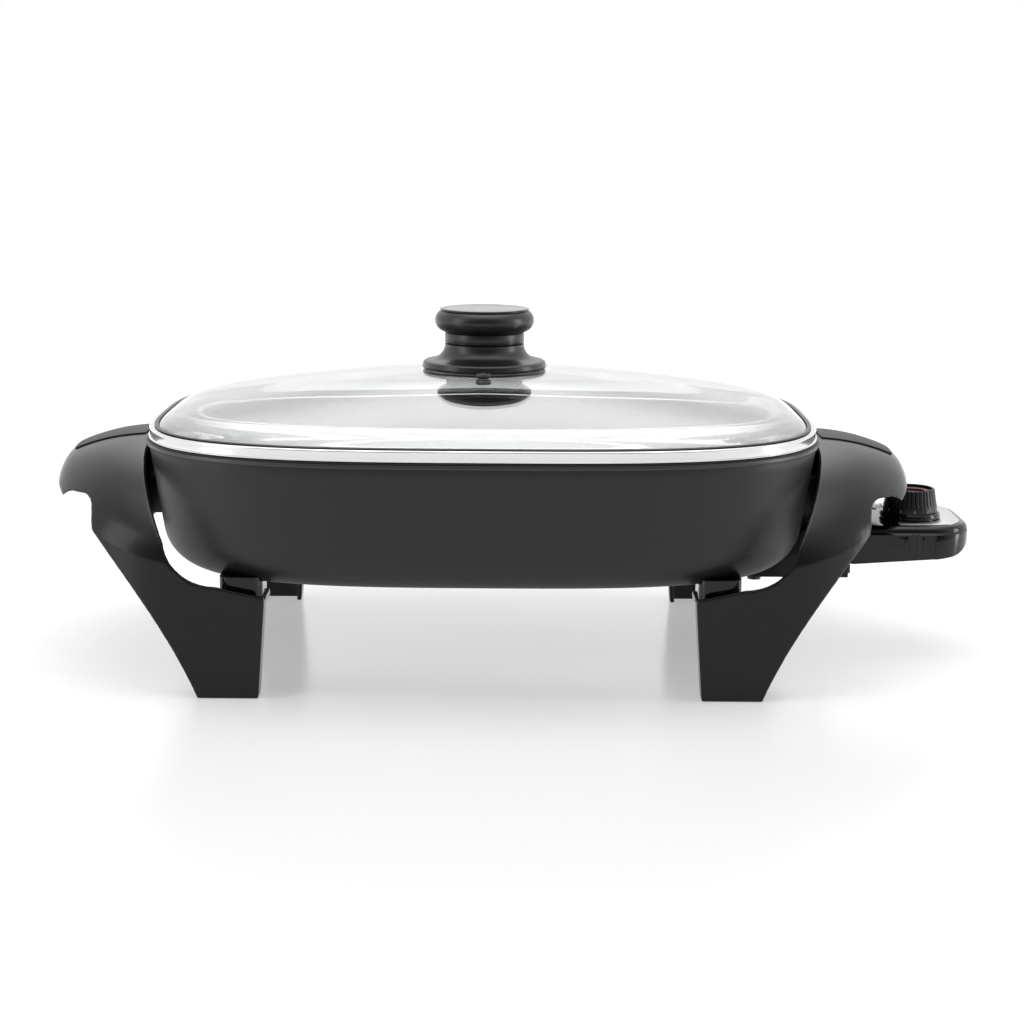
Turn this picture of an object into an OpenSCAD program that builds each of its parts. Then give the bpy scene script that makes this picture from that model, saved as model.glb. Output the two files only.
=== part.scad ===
// Electric skillet: a cast pan on two moulded handle-and-leg frames, a glass lid
// that lifts off by its knob, and a heat control that plugs in at the right end.
// Origin: on the table, under the middle of the whole object. +X runs towards the
// heat control, +Y to the back, +Z up. The pieces are drawn from the middle of the
// pan, and centred() moves each to its place.

/* [Pan] */
// Length of the lid band's outline, along X
rim_l = 390; // [350:1:420]
// Width of the lid band's outline, along Y
rim_w = 296; // [270:1:320]
// Squareness of the outline, where 2 is an ellipse
rim_power = 3.26; // [2.8:0.02:4.2]
// Height of the pan's underside above the table
pan_base_z = 62; // [56:1:76]
// Depth of the pan from its underside to its lip
pan_h = 75; // [66:1:90]
// Thickness of the pan's wall
pan_wall = 3.5; // [2.5:0.1:4.5]
// Thickness of the pan's floor
pan_floor = 4.5; // [4:0.1:6]
// How far the wall leans out for each millimetre of height
wall_lean = 0.15; // [0.1:0.01:0.22]
// Outer radius between the pan's wall and its underside
pan_corner_r = 26; // [20:0.5:30]
// How far the pan's lip stands out past the lid band
lip_out = 1.6; // [1.2:0.1:4]
// Height of the pan's lip
lip_h = 2.5; // [1.5:0.1:4]
// Width of the lip's flat top
lip_w = 5.1; // [4.6:0.1:8]

/* [Heating element] */
// Radius of the tubular element
element_r = 3.5; // [3:0.1:4]
// Half the spacing of the element's two long runs
element_half_w = 60; // [48:1:70]
// X of the far end's turning centre
element_far_x = -60; // [-80:1:-40]
// Height of the element, the pins and the probe
socket_z = 60; // [59.5:0.1:60.8]
// Radius of a terminal pin
pin_r = 2.4; // [2:0.1:2.8]
// Half the spacing of the terminal pins
pin_half_gap = 15; // [13:0.5:18]
// Length of a pin that stands out of its boss
pin_l = 22; // [18:0.5:24]
// Length of the cast terminal boss, along X
boss_l = 38; // [34:0.5:42]
// Width of the cast terminal boss, along Y
boss_w = 46; // [42:1:56]
// Radius of the hole for the heat probe
well_r = 3.3; // [3.1:0.05:3.6]
// Length of an element strap
strap_l = 24; // [20:0.5:30]

/* [Handle and leg frames] */
// Wall of the moulding
frame_wall = 3; // [2.4:0.1:3.6]
// How far a leg's face stands back from the rim, seen from the end
frame_set_back = 21; // [17:1:27]
// Plan radius of the frame's corners
frame_corner_r = 90; // [80:1:100]
// How far the grip reaches out past the lid band
grip_reach = 59.2; // [50:0.1:64]
// How far the top of the grip lies below the pan's lip
grip_drop = 4; // [2:0.5:8]
// Fall of the grip's top from the pan to its outer edge
grip_fall = 13; // [10:0.5:16]
// Height of the dome over the frame's straight sides
dome_h = 60; // [54:1:66]
// Roundness of the dome from front to back
dome_power = 2.1; // [1.8:0.05:2.4]
// Width of a foot, along X
foot_w = 34; // [28:1:40]
// From the end of the rim to the inner edge of a foot
foot_inset = 71.5; // [65:0.5:78]
// How far a leg's inner edge leans out on its way down
foot_lean = 4; // [0:0.5:6]
// How far a leg's outer edge is hollowed
leg_hollow = 6; // [0:0.5:9]
// Depth of the flanges that stiffen a leg
flange_d = 14; // [10:0.5:20]
// Height of the finger arch's crown above the table
arch_z = 108; // [106:0.5:110]
// Half the width of the finger arch's raised middle
arch_half_w = 62; // [52:1:70]
// Half the width of the grip's inlay
inlay_half_w = 19; // [14:0.5:26]
// Height of the inlay above the grip
inlay_h = 0.8; // [0.4:0.1:1.2]

/* [Handle brackets and leg pads] */
// Thickness of a handle bracket
bracket_t = 4; // [3:0.1:5]
// Half the width of a handle bracket
bracket_half_w = 50; // [40:1:54]
// Height of a handle bracket
bracket_h = 40; // [32:1:42]
// Spacing of a bracket's two screws from the middle
bracket_screw_y = 24; // [18:0.5:28]
// Width of a leg pad, along X
pad_w = 24; // [20:0.5:28]
// Depth of a leg pad, along Y
pad_d = 30; // [24:0.5:34]
// Thickness of a leg's tab under the pad
tab_t = 4; // [3:0.1:5]
// Height of the pad between the tab and the pan's underside
pad_h = 6.5; // [5:0.1:8]

/* [Terminal guard] */
// Length of the guard, along X
guard_l = 60; // [54:1:64]
// Half the width of the guard
guard_half_w = 39; // [36:0.5:40]
// Height of the guard
guard_h = 28; // [27:0.5:30]
// Wall of the guard
guard_wall = 1.8; // [1.4:0.1:2.4]

/* [Lid] */
// Height of the steel band
band_h = 6; // [5:0.1:8]
// Sheet thickness of the band
band_t = 1; // [0.8:0.1:1.4]
// Thickness of the glass
glass_t = 3.8; // [3:0.1:4.2]
// Quick rise of the glass at its edge
edge_rise = 7; // [5:0.5:10]
// Slow rise of the glass to its middle
dome_rise = 23; // [16:0.5:30]
// Radius of the flat seat for the knob
seat_r = 37.5; // [37:0.5:42]
// Radius of the steam vent's eyelet
vent_r = 3.9; // [3.4:0.1:5]
// Gap between the knob's flange and the steam vent
vent_gap = 0.6; // [0.4:0.1:16]

/* [Knob] */
// Radius of the knob's flange
flange_r = 36.5; // [32:0.5:37]
// Height of the lower knob moulding
knob_base_h = 14; // [12:0.5:18]
// Radius of the neck
neck_r = 23.8; // [20:0.2:26]
// Height of the upper knob moulding
knob_head_h = 20.5; // [18:0.5:24]
// Largest radius of the upper knob moulding
head_r = 29.7; // [27:0.1:32]
// Radius of the disc in the knob's top
disc_r = 26.2; // [22:0.2:27]
// Thickness of the disc
disc_t = 1.2; // [0.8:0.1:2]
// Radius of the knob's screw
knob_screw_r = 2.4; // [2:0.1:3]
// Thickness of the knob's seal
seal_t = 1; // [0.6:0.1:1.6]

/* [Heat control] */
// How far the housing stands out past the grip
control_reach = 36.8; // [32:0.1:46]
// Half the width of the housing
control_half_w = 40; // [39:0.5:44]
// Height of the housing's top above the table
control_top_z = 83; // [82:0.5:84]
// Height of the shoulder, the rounded top shell
shoulder_h = 5; // [4:0.5:7]
// Height of the housing's underside above the table
control_low_z = 60; // [58:0.5:61]
// Corner radius of the housing's outer end
control_r = 24; // [16:1:30]
// Wall of the housing
control_wall = 2.2; // [1.8:0.1:2.8]
// Radius of the heat probe
probe_r = 3; // [2.6:0.05:3]
// Radius of the round finger grip
thumb_r = 6.6; // [5:0.2:8]
// Thickness of the blank plate on the housing
plate_t = 0.6; // [0.4:0.1:1]
// Radius of the cord that the gland takes
cord_r = 3.5; // [3:0.1:4]
// Length of the cord gland outside the housing
gland_l = 15; // [10:0.5:20]

/* [Dial] */
// Radius of the dial at its base
dial_r = 16.2; // [14:0.2:17]
// Radius of the dial at its top
dial_top_r = 14.3; // [12:0.1:15]
// Height of the dial
dial_h = 14; // [12:0.5:15]
// Number of grooves round the dial
dial_grooves = 30; // [16:1:40]
// How far the dial sits in front of the control's middle
dial_offset = 12; // [8:0.5:16]
// Depth of the dish in the dial's top
dish_d = 3; // [2:0.1:5]
// Height of the collar under the dial
collar_h = 4.4; // [3:0.1:5]
// Radius of the dial's spindle
spindle_r = 3; // [2.5:0.1:3.4]

/* [Fits] */
// Gap between bodies that move apart
body_gap = 0.4; // [0.3:0.05:0.6]
// Radial clearance of the spindle in its bearing
run_fit = 0.06; // [0.03:0.01:0.1]
// Radial clearance round screws and parts that slide in
slip_fit = 0.2; // [0.15:0.05:0.3]
// Radius of the frames' screws
screw_r = 2; // [1.8:0.1:2.4]
// Radius of the control's small screws
small_screw_r = 1.4; // [1.2:0.1:1.6]

/* [Hidden] */
$fn = 64;
EPS = 0.01;

// Pan: a section of [inset from the lid band's outline, height] pairs is swept
// round the outline.
plan_steps = 72;
rim_z = pan_base_z + pan_h;
lip_under_z = rim_z - lip_h;
lip_step = 1;
lip_chamfer = 0.4;
lean_angle = atan(wall_lean);
corner_z = pan_base_z + pan_corner_r;
function wall_inset(z) = lip_step - lip_out + wall_lean * (lip_under_z - lip_step - z);
corner_inset = wall_inset(corner_z) + pan_corner_r / cos(lean_angle);
floor_z = pan_base_z + pan_floor;
inner_corner_r = pan_corner_r - pan_wall;
inner_corner_z = floor_z + inner_corner_r;
inner_corner_inset = wall_inset(inner_corner_z)
    + (pan_wall + inner_corner_r) / cos(lean_angle);
inner_rim_inset = lip_w - lip_out;
corner_steps = 7;

// Heating element and its terminals
s_bend_r = (element_half_w - pin_half_gap) / 2;
boss_in_x = rim_l / 2 - 40;
run_end_x = boss_in_x - 2 * s_bend_r;
boss_out_x = boss_in_x + boss_l - 6;
boss_low_z = socket_z - 6;
pin_start_x = boss_out_x - 16;
pin_end_x = boss_out_x + pin_l;
insulator_r = 4.6;

// Frames
frame_out_x = rim_l / 2 + grip_reach;
frame_in_x = rim_l / 2 + lip_out + 2;
grip_top_z = rim_z - grip_drop;
corner_x = frame_out_x - frame_corner_r;
frame_half_d = rim_w / 2 - frame_set_back;
corner_y = frame_half_d - frame_corner_r;
foot_in_x = rim_l / 2 - foot_inset;
dome_low_z = grip_top_z - dome_h;
arch_lip_z = arch_z - 4.5;
bracket_in_x = frame_in_x;
bracket_out_x = bracket_in_x + bracket_t;
inner_wall_x = bracket_out_x + frame_wall;
bracket_top_z = grip_top_z - 8;
bracket_low_z = bracket_top_z - bracket_h;
bracket_screw_z = rim_z - 25;
screw_head_r = 2 * screw_r;
screw_head_h = 2.4;
knee_x = corner_x + 54.5;
knee_z = 91;
pad_x = foot_in_x + foot_lean / 2 + pad_w / 2 - 4;
pad_gap = 4.1;
pad_y = frame_half_d - frame_wall - pad_gap - pad_d / 2;
pad_low_z = pan_base_z - pad_h;
tab_low_z = pad_low_z - tab_t;
leg_screw_x = pad_x - 4;
leg_screw_y = pad_y - 5;
leg_boss_r = 5;
leg_boss_h = 3;

// Guard
guard_out_x = rim_l / 2 + 22;
guard_in_x = guard_out_x - guard_l;
guard_low_z = socket_z - 8;
guard_top_z = guard_low_z + guard_h;
guard_screw_x = guard_in_x + 5;
guard_screw_y = 32;

// Lid
band_low_z = rim_z + body_gap;
band_top_z = band_low_z + band_h;
band_grip = 3.6;
glass_inset = band_t + 0.2;
glass_edge_z = band_top_z - band_t - 0.2;
edge_power = 24;
bow_power = 1.72;
flat_part = seat_r / (rim_l / 2 - band_grip);
function bow(k) = glass_edge_z + edge_rise * (1 - pow(k, edge_power))
    + dome_rise * (1 - pow(k, bow_power));
seat_z = bow(flat_part);
vent_y = flange_r + vent_gap + vent_r;
seal_top_z = seat_z + seal_t;
head_low_z = seal_top_z + knob_base_h + 0.4;
head_top_z = head_low_z + knob_head_h;
spigot_r = 9;
spigot_h = 8;
washer_t = 1.2;
washer_r = 9;

// Heat control
control_out_x = frame_out_x + control_reach;
seam_z = control_top_z - shoulder_h;
nose_out_x = guard_out_x + body_gap;
nose_in_x = boss_out_x + body_gap;
nose_half_w = guard_half_w - guard_wall - body_gap;
nose_low_z = guard_low_z + guard_wall + body_gap;
nose_top_z = guard_top_z - guard_wall - body_gap;
inner_r = 6;
face_step = 0.8;
step_x = control_out_x - control_r + 1;
dial_x = frame_out_x + 3;
dial_y = -dial_offset;
collar_r = dial_r + 1.4;
dial_low_z = control_top_z + collar_h + body_gap;
dial_top_z = dial_low_z + dial_h;
spindle_low_z = seam_z - 6;
probe_tip_x = boss_out_x - boss_l + 4;
carrier_x = nose_in_x + control_wall;
carrier_l = 12;
socket_r = 3.5;
socket_end_x = pin_end_x + 4;
gland_x = frame_out_x - 14;
gland_z = (control_low_z + seam_z) / 2;
gland_r = cord_r + 2.6;
column_r = 4.4;
columns = [[nose_out_x + 11, 33], [control_out_x - 20, 24]];
end_tuck = 0.92;
mid_x = (control_out_x - frame_out_x + end_tuck) / 2;

// Rings, lofts and swept sections ------------------------------------------------

// One turn of the outline, a distance inside the lid band's outline
function outline(inset, z) = let (
        a = rim_l / 2 - inset, b = rim_w / 2 - inset, e = 2 / rim_power)
    [for (i = [0:plan_steps - 1]) let (t = 360 * i / plan_steps, c = cos(t), s = sin(t))
        [a * sign(c) * pow(abs(c), e), b * sign(s) * pow(abs(s), e), z]];

// One ring of the glass: round in the middle, the rim's outline at the edge
function glass_ring(k, z) = let (
        s = (k - flat_part) / (1 - flat_part),
        a = seat_r + s * (rim_l / 2 - band_grip - seat_r),
        b = seat_r + s * (rim_w / 2 - band_grip - seat_r),
        e = 2 / (2 + s * (rim_power - 2)))
    [for (i = [0:plan_steps - 1]) let (t = 360 * i / plan_steps, c = cos(t), s = sin(t))
        [a * sign(c) * pow(abs(c), e), b * sign(s) * pow(abs(s), e), z]];

function side_faces(m, i, j) = [for (k = [0:m - 1]) each [
    [i * m + k, j * m + k, j * m + (k + 1) % m],
    [i * m + k, j * m + (k + 1) % m, i * m + (k + 1) % m]]];

// A closed solid through a list of rings, capped at both ends
module loft(rings) {
    m = len(rings[0]);
    n = len(rings);
    polyhedron(
        points = [for (r = rings) each r],
        faces = [
            [for (k = [0:m - 1]) k],
            for (i = [0:n - 2]) each side_faces(m, i, i + 1),
            [for (k = [m - 1:-1:0]) (n - 1) * m + k]]);
}

// A closed ring whose section is a list of [inset, height] pairs
module swept_ring(section) {
    n = len(section);
    rings = [for (p = section) outline(p[0], p[1])];
    polyhedron(
        points = [for (r = rings) each r],
        faces = [for (i = [0:n - 1]) each side_faces(plan_steps, i, (i + 1) % n)]);
}

module x_cylinder(r, l) { rotate([0, 90, 0]) cylinder(r = r, h = l); }
module y_cylinder(r, l) { rotate([-90, 0, 0]) cylinder(r = r, h = l); }

// A polygon drawn in X and Z, as deep as d on both sides of the middle
module front_prism(d) {
    translate([0, d, 0]) rotate([90, 0, 0]) linear_extrude(height = 2 * d) children();
}

// From the middle of the pan to the middle of the whole object
module centred() { translate([-mid_x, 0, 0]) children(); }

module at_both_ends() { children(); mirror([1, 0, 0]) children(); }
module at_both_sides() { children(); mirror([0, 1, 0]) children(); }

// Base body -----------------------------------------------------------------------

function corner_arc(inset, z, r, a0, a1, n) = [for (i = [0:n]) let (
        a = a0 + (a1 - a0) * i / n) [inset - r * cos(a), z + r * sin(a)]];

// Outer skin of the pan, from the underside up to the lip
function pan_skin(gap = 0) = concat(
    corner_arc(corner_inset, corner_z, pan_corner_r + gap, -90, -lean_angle, corner_steps),
    [[wall_inset(lip_under_z - lip_step) - gap, lip_under_z - lip_step],
     [-lip_out - gap, lip_under_z]]);

module pan_shell() {
    section = concat(
        pan_skin(),
        [[-lip_out, rim_z - lip_chamfer], [lip_chamfer - lip_out, rim_z],
         [inner_rim_inset, rim_z],
         [wall_inset(lip_under_z) + pan_wall, lip_under_z]],
        corner_arc(inner_corner_inset, inner_corner_z, inner_corner_r,
            -lean_angle, -90, corner_steps));
    loft([for (p = section) outline(p[0], p[1])]);
}

module element_path(r) {
    at_both_sides() {
        translate([element_far_x, element_half_w, socket_z])
            x_cylinder(r, run_end_x - element_far_x);
        translate([run_end_x, element_half_w - s_bend_r, socket_z])
            rotate_extrude(angle = 90) translate([s_bend_r, 0]) circle(r = r);
        translate([boss_in_x, element_half_w - s_bend_r, socket_z])
            rotate([0, 0, 180]) rotate_extrude(angle = 90)
                translate([s_bend_r, 0]) circle(r = r);
        translate([boss_in_x, pin_half_gap, socket_z]) x_cylinder(r, 6);
    }
    translate([element_far_x, 0, socket_z])
        rotate([0, 0, 90]) rotate_extrude(angle = 180)
            translate([element_half_w, 0]) circle(r = r);
}

module leg_places() {
    at_both_ends() at_both_sides() translate([leg_screw_x, leg_screw_y, 0]) children();
}

module bracket_screw_places() {
    at_both_ends() at_both_sides()
        translate([bracket_in_x, bracket_screw_y, bracket_screw_z]) children();
}

module skillet_pan() {
    centred() color([0.2, 0.2, 0.21]) difference() {
        union() {
            pan_shell();
            translate([boss_in_x, -boss_w / 2, boss_low_z])
                cube([boss_out_x - boss_in_x, boss_w, 2 * (socket_z - boss_low_z)]);
            leg_places() translate([0, 0, pan_base_z - leg_boss_h])
                cylinder(r = leg_boss_r, h = leg_boss_h + 1);
            bracket_screw_places()
                translate([-9.5, 0, 0]) x_cylinder(5, 9.5);
        }
        element_path(element_r + run_fit);
        for (s = [-1, 1]) translate([boss_in_x - EPS, s * pin_half_gap, socket_z])
            x_cylinder(insulator_r + run_fit, boss_l);
        translate([probe_tip_x - probe_r - 1, 0, socket_z]) x_cylinder(well_r, boss_l + 4);
        leg_places() translate([0, 0, pan_base_z - leg_boss_h - EPS])
            cylinder(r = screw_r, h = leg_boss_h + 3);
        bracket_screw_places() translate([-5, 0, 0]) x_cylinder(screw_r, 5 + EPS);
        for (s = [-1, 1]) translate([guard_screw_x, s * guard_screw_y, pan_base_z - 1])
            cylinder(r = screw_r, h = 3.5);
    }
}

module heating_element() {
    centred() color([0.55, 0.53, 0.5]) element_path(element_r);
}

module element_straps() {
    centred() color([0.7, 0.7, 0.68]) for (x = [element_far_x + 20, run_end_x - 20])
        at_both_sides() translate([x, element_half_w, 0]) difference() {
            union() {
                translate([-4, -strap_l / 2, pan_base_z - 1.5]) cube([8, strap_l, 1.5]);
                translate([-4, 0, socket_z]) x_cylinder(element_r + 1.4, 8);
            }
            translate([-5, 0, socket_z]) x_cylinder(element_r + run_fit, 10);
            translate([-5, -strap_l, pan_base_z]) cube([10, 2 * strap_l, 10]);
        }
}

module terminal_pins() {
    centred() color([0.78, 0.76, 0.7]) for (s = [-1, 1])
        translate([pin_start_x, s * pin_half_gap, socket_z]) {
            x_cylinder(pin_r, pin_end_x - pin_start_x - 1);
            translate([pin_end_x - pin_start_x - 1, 0, 0])
                rotate([0, 90, 0]) cylinder(r1 = pin_r, r2 = pin_r - 1, h = 1);
        }
}

module pin_insulators() {
    centred() color([0.92, 0.9, 0.85]) for (s = [-1, 1])
        translate([pin_start_x - 4, s * pin_half_gap, socket_z]) difference() {
            x_cylinder(insulator_r, boss_out_x - pin_start_x + 4);
            translate([4, 0, 0]) x_cylinder(pin_r + run_fit, boss_l);
        }
}

module terminal_guard() {
    w = guard_half_w;
    skin = concat([for (p = pan_skin(1.2)) [rim_l / 2 - p[0], p[1]]],
        [[frame_in_x - 2, rim_z], [0, rim_z], [0, pan_base_z - 1.2]]);
    centred() color([0.07, 0.07, 0.07]) difference() {
        translate([guard_in_x, -w, guard_low_z]) cube([guard_l, 2 * w, guard_h]);
        translate([guard_in_x + 10, guard_wall - w, guard_low_z + guard_wall])
            cube([guard_l, 2 * (w - guard_wall), guard_h - 2 * guard_wall]);
        translate([guard_in_x - 1, -boss_w / 2 - 1, boss_low_z - 1])
            cube([boss_out_x + 3 - guard_in_x, boss_w + 2, guard_h]);
        front_prism(w + 1) polygon(skin);
        for (s = [-1, 1]) translate([guard_screw_x, s * guard_screw_y, guard_low_z - 1])
            cylinder(r = screw_r + slip_fit, h = guard_h);
    }
}

module guard_screws() {
    centred() color([0.6, 0.6, 0.62]) for (s = [-1, 1])
        translate([guard_screw_x, s * guard_screw_y, guard_low_z - screw_head_h]) {
            cylinder(r = screw_head_r, h = screw_head_h);
            cylinder(r = screw_r, h = pan_base_z - guard_low_z + screw_head_h + 2);
        }
}

// Frames ---------------------------------------------------------------------------

// Half the depth of the frame's plan at a distance x from the middle
function plan_half(x, t) = x <= corner_x ? frame_half_d - t
    : corner_y + sqrt(max(0, pow(frame_corner_r - t, 2) - pow(x - corner_x, 2)));

// Crest of the grip: a gentle fall from the pan, then round at the outer edge
function crest(x, t) = let (
        u = (x - frame_in_x) / (frame_out_x - t - frame_in_x))
    grip_top_z - t - (u <= 0 ? 0 : grip_fall * pow(u, 2) + 10 * pow(u, 19));

function dome_arc(x, t, n) = let (w = plan_half(x, t), h = crest(x, t) - dome_low_z)
    [for (i = [0:n]) let (a = 180 * i / n, y = w * cos(a))
        [x, y, dome_low_z + h * pow(max(0, 1 - pow(abs(y) / w, dome_power)), 0.5)]];

function dome_ring(x, t) = let (w = plan_half(x, t)) concat(
    [[x, w, -1]], dome_arc(x, t, 20), [[x, -w, -1]]);

module dome(t) {
    reach = frame_out_x - t - corner_x;
    stations = concat([foot_in_x - 20, (foot_in_x + corner_x) / 2, corner_x],
        [for (a = [12:13:77]) corner_x + reach * sin(a)],
        [for (a = [82, 86]) corner_x + reach * sin(a)], [frame_out_x - t]);
    intersection() {
        loft([for (x = stations) dome_ring(x, t)]);
        lip_curl(t);
    }
}

// The grip's outer face tucks in towards its lip, by [height, tuck] pairs
module lip_curl(t) {
    tucks = [[-10, 8], [arch_lip_z - 3, 8], [arch_lip_z + 2, 5.6], [arch_lip_z + 6, 2.8],
        [arch_lip_z + 10, 0.8], [arch_lip_z + 14, 0], [grip_top_z + 20, 0]];
    r = frame_corner_r - t;
    loft([for (k = tucks) concat([[0, -corner_y - r, k[0]]],
        [for (s = [-1, 1]) for (a = [0:9:90]) [
            corner_x + (r - k[1]) * sin(s < 0 ? a : 90 - a),
            s * (corner_y + r * cos(s < 0 ? a : 90 - a)), k[0]]],
        [[0, corner_y + r, k[0]]])]);
}

// A leg's outer edge, from the foot at 0 to the knee at 1
function leg_edge(u) = let (x = foot_in_x + foot_w)
    [x + (knee_x - x) * u - 4 * leg_hollow * u * (1 - u), knee_z * u];

// Face of a frame: foot, leg, inner curve round the pan, grip and finger hollow
module frame_face() {
    r = 28.6;
    cx = rim_l / 2 - corner_inset - 15;
    cz = corner_z + 4;
    lip_x = frame_out_x - 14;
    hollow_x = frame_out_x - 27.5;
    hollow_r = 7;
    polygon(concat(
        [[foot_in_x, 0], [foot_in_x - foot_lean, pad_low_z + 2]],
        [for (a = [-90:10:-10]) [cx + r * cos(a), cz + r * sin(a)]],
        [[frame_in_x - 10.5, bracket_screw_z], [frame_in_x - 3, grip_top_z - 6],
         [frame_in_x, grip_top_z + 5], [frame_out_x + 5, grip_top_z + 5],
         [frame_out_x + 5, arch_lip_z - 2], [lip_x + 4, arch_lip_z - 2],
         [lip_x, arch_lip_z]],
        [for (a = [90:15:180]) [hollow_x + hollow_r * cos(a),
            arch_lip_z - 2 + hollow_r * sin(a)]],
        [for (u = [1:-0.2:0]) leg_edge(u)]));
}

module arch_cut() {
    translate([inner_wall_x + 4, 0, 0]) rotate([90, 0, 90]) linear_extrude(height = 200) {
        translate([-arch_half_w, arch_z - 30]) square([2 * arch_half_w, 18]);
        translate([12 - arch_half_w, arch_z - 30]) square([2 * arch_half_w - 24, 30]);
        for (s = [-1, 1]) translate([s * (arch_half_w - 12), arch_z - 12]) circle(r = 12);
    }
}

module leg_insides() {
    at_both_sides() {
        intersection() {
            dome(0.5);
            translate([foot_in_x - foot_lean, frame_half_d - flange_d, 0])
                cube([foot_w + 80, flange_d - 1, pad_low_z + 30]);
            front_prism(200) union() {
                polygon([[foot_in_x, 0], [foot_in_x - foot_lean, pad_low_z],
                    [foot_in_x - foot_lean + frame_wall, pad_low_z],
                    [foot_in_x + frame_wall, 0]]);
                polygon(concat([for (u = [0:0.2:0.6]) leg_edge(u)],
                    [for (u = [0.6:-0.2:0]) leg_edge(u) - [frame_wall + 1, 0]]));
            }
        }
        translate([foot_in_x - foot_lean + 0.5, leg_screw_y - 8, tab_low_z])
            cube([pad_w + 4, frame_half_d - leg_screw_y + 8 - 1.5, tab_t]);
    }
}

module handle_frame() {
    difference() {
        union() {
            intersection() {
                difference() { dome(0); dome(frame_wall); }
                front_prism(200) frame_face();
            }
            intersection() {
                translate([bracket_out_x, -bracket_half_w - 4, bracket_low_z])
                    cube([frame_wall, 2 * bracket_half_w + 8, 60]);
                dome(1);
            }
            leg_insides();
        }
        arch_cut();
        at_both_sides() {
            translate([bracket_out_x - 1, bracket_screw_y, bracket_screw_z])
                x_cylinder(screw_r + slip_fit, 10);
            translate([leg_screw_x, leg_screw_y, tab_low_z - 1])
                cylinder(r = screw_r + slip_fit, h = 10);
        }
    }
}

module left_handle_frame() { centred() color([0.08, 0.08, 0.09]) mirror([1, 0, 0]) handle_frame(); }
module right_handle_frame() { centred() color([0.08, 0.08, 0.09]) handle_frame(); }

module grip_inlay() {
    intersection() {
        difference() { dome(-inlay_h); dome(0); }
        translate([frame_in_x + 1, -inlay_half_w, grip_top_z - 16])
            cube([grip_reach - 14, 2 * inlay_half_w, 30]);
    }
}
module left_grip_inlay() { centred() color([0.16, 0.16, 0.17]) mirror([1, 0, 0]) grip_inlay(); }
module right_grip_inlay() { centred() color([0.16, 0.16, 0.17]) grip_inlay(); }

module handle_bracket() {
    difference() {
        translate([bracket_in_x, -bracket_half_w, bracket_low_z])
            cube([bracket_t, 2 * bracket_half_w, bracket_h]);
        at_both_sides() translate([bracket_in_x - 1, bracket_screw_y, bracket_screw_z])
            x_cylinder(screw_r + slip_fit, bracket_t + 2);
    }
}
module left_handle_bracket() { centred() color([0.04, 0.04, 0.04]) mirror([1, 0, 0]) handle_bracket(); }
module right_handle_bracket() { centred() color([0.04, 0.04, 0.04]) handle_bracket(); }

module bracket_screws() {
    centred() color([0.6, 0.6, 0.62]) bracket_screw_places() {
        translate([bracket_t + frame_wall, 0, 0]) x_cylinder(screw_head_r, screw_head_h);
        translate([-4.5, 0, 0]) x_cylinder(screw_r, bracket_t + frame_wall + 4.5 + EPS);
    }
}

module leg_pads() {
    difference() {
        at_both_sides() translate([pad_x, pad_y, pad_low_z]) {
            for (x = [-1, 1]) translate([x * (pad_w / 2 - 6), 0, 0])
                for (y = [-1, 1]) translate([0, y * (pad_d / 2 - 6), 0])
                    cylinder(r = 6, h = 12);
            translate([6 - pad_w / 2, -pad_d / 2, 0]) cube([pad_w - 12, pad_d, 12]);
            translate([-pad_w / 2, 6 - pad_d / 2, 0]) cube([pad_w, pad_d - 12, 12]);
        }
        loft([for (p = concat(pan_skin(), [[0, rim_z]])) outline(p[0], p[1])]);
        at_both_sides() translate([leg_screw_x, leg_screw_y, 0]) {
            translate([0, 0, pad_low_z - 1]) cylinder(r = screw_r + slip_fit, h = 20);
            translate([0, 0, pan_base_z - leg_boss_h - 0.1])
                cylinder(r = leg_boss_r + slip_fit, h = 20);
        }
    }
}
module left_leg_pads() { centred() color([0.03, 0.03, 0.03]) mirror([1, 0, 0]) leg_pads(); }
module right_leg_pads() { centred() color([0.03, 0.03, 0.03]) leg_pads(); }

module leg_screws() {
    centred() color([0.6, 0.6, 0.62]) leg_places() {
        translate([0, 0, tab_low_z - screw_head_h])
            cylinder(r = screw_head_r, h = screw_head_h);
        translate([0, 0, tab_low_z - EPS])
            cylinder(r = screw_r, h = pan_base_z + 1.5 - tab_low_z);
    }
}

// Lid body --------------------------------------------------------------------------

module lid_glass() {
    parts = [1, 0.985, 0.965, 0.94, 0.9, 0.84, 0.75, 0.62, 0.46, 0.32, flat_part];
    under = [for (i = [len(parts) - 1:-1:0]) parts[i]];
    centred() color([0.85, 0.9, 0.9, 0.4]) difference() {
        loft(concat(
            [for (k = under) glass_ring(k, bow(k) - glass_t)],
            [outline(glass_inset, glass_edge_z - glass_t + 0.2),
             outline(glass_inset, glass_edge_z - 0.2)],
            [for (k = parts) glass_ring(k, bow(k))]));
        translate([0, 0, seat_z - 10]) cylinder(r = knob_screw_r + slip_fit, h = 20);
        translate([0, -vent_y, seat_z - 12]) cylinder(r = vent_r - 1, h = 24);
    }
}

module lid_band() {
    lip = band_grip + 4.4;
    centred() color([0.8, 0.8, 0.82]) swept_ring([
        [0, band_low_z + 0.3], [0, band_top_z - 0.6], [0.6, band_top_z],
        [band_grip - 0.4, band_top_z], [band_grip - 0.4, band_top_z - band_t],
        [band_t, band_top_z - band_t],
        [band_t, glass_edge_z - glass_t], [lip, glass_edge_z - glass_t],
        [lip, band_low_z], [0.3, band_low_z]]);
}

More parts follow.
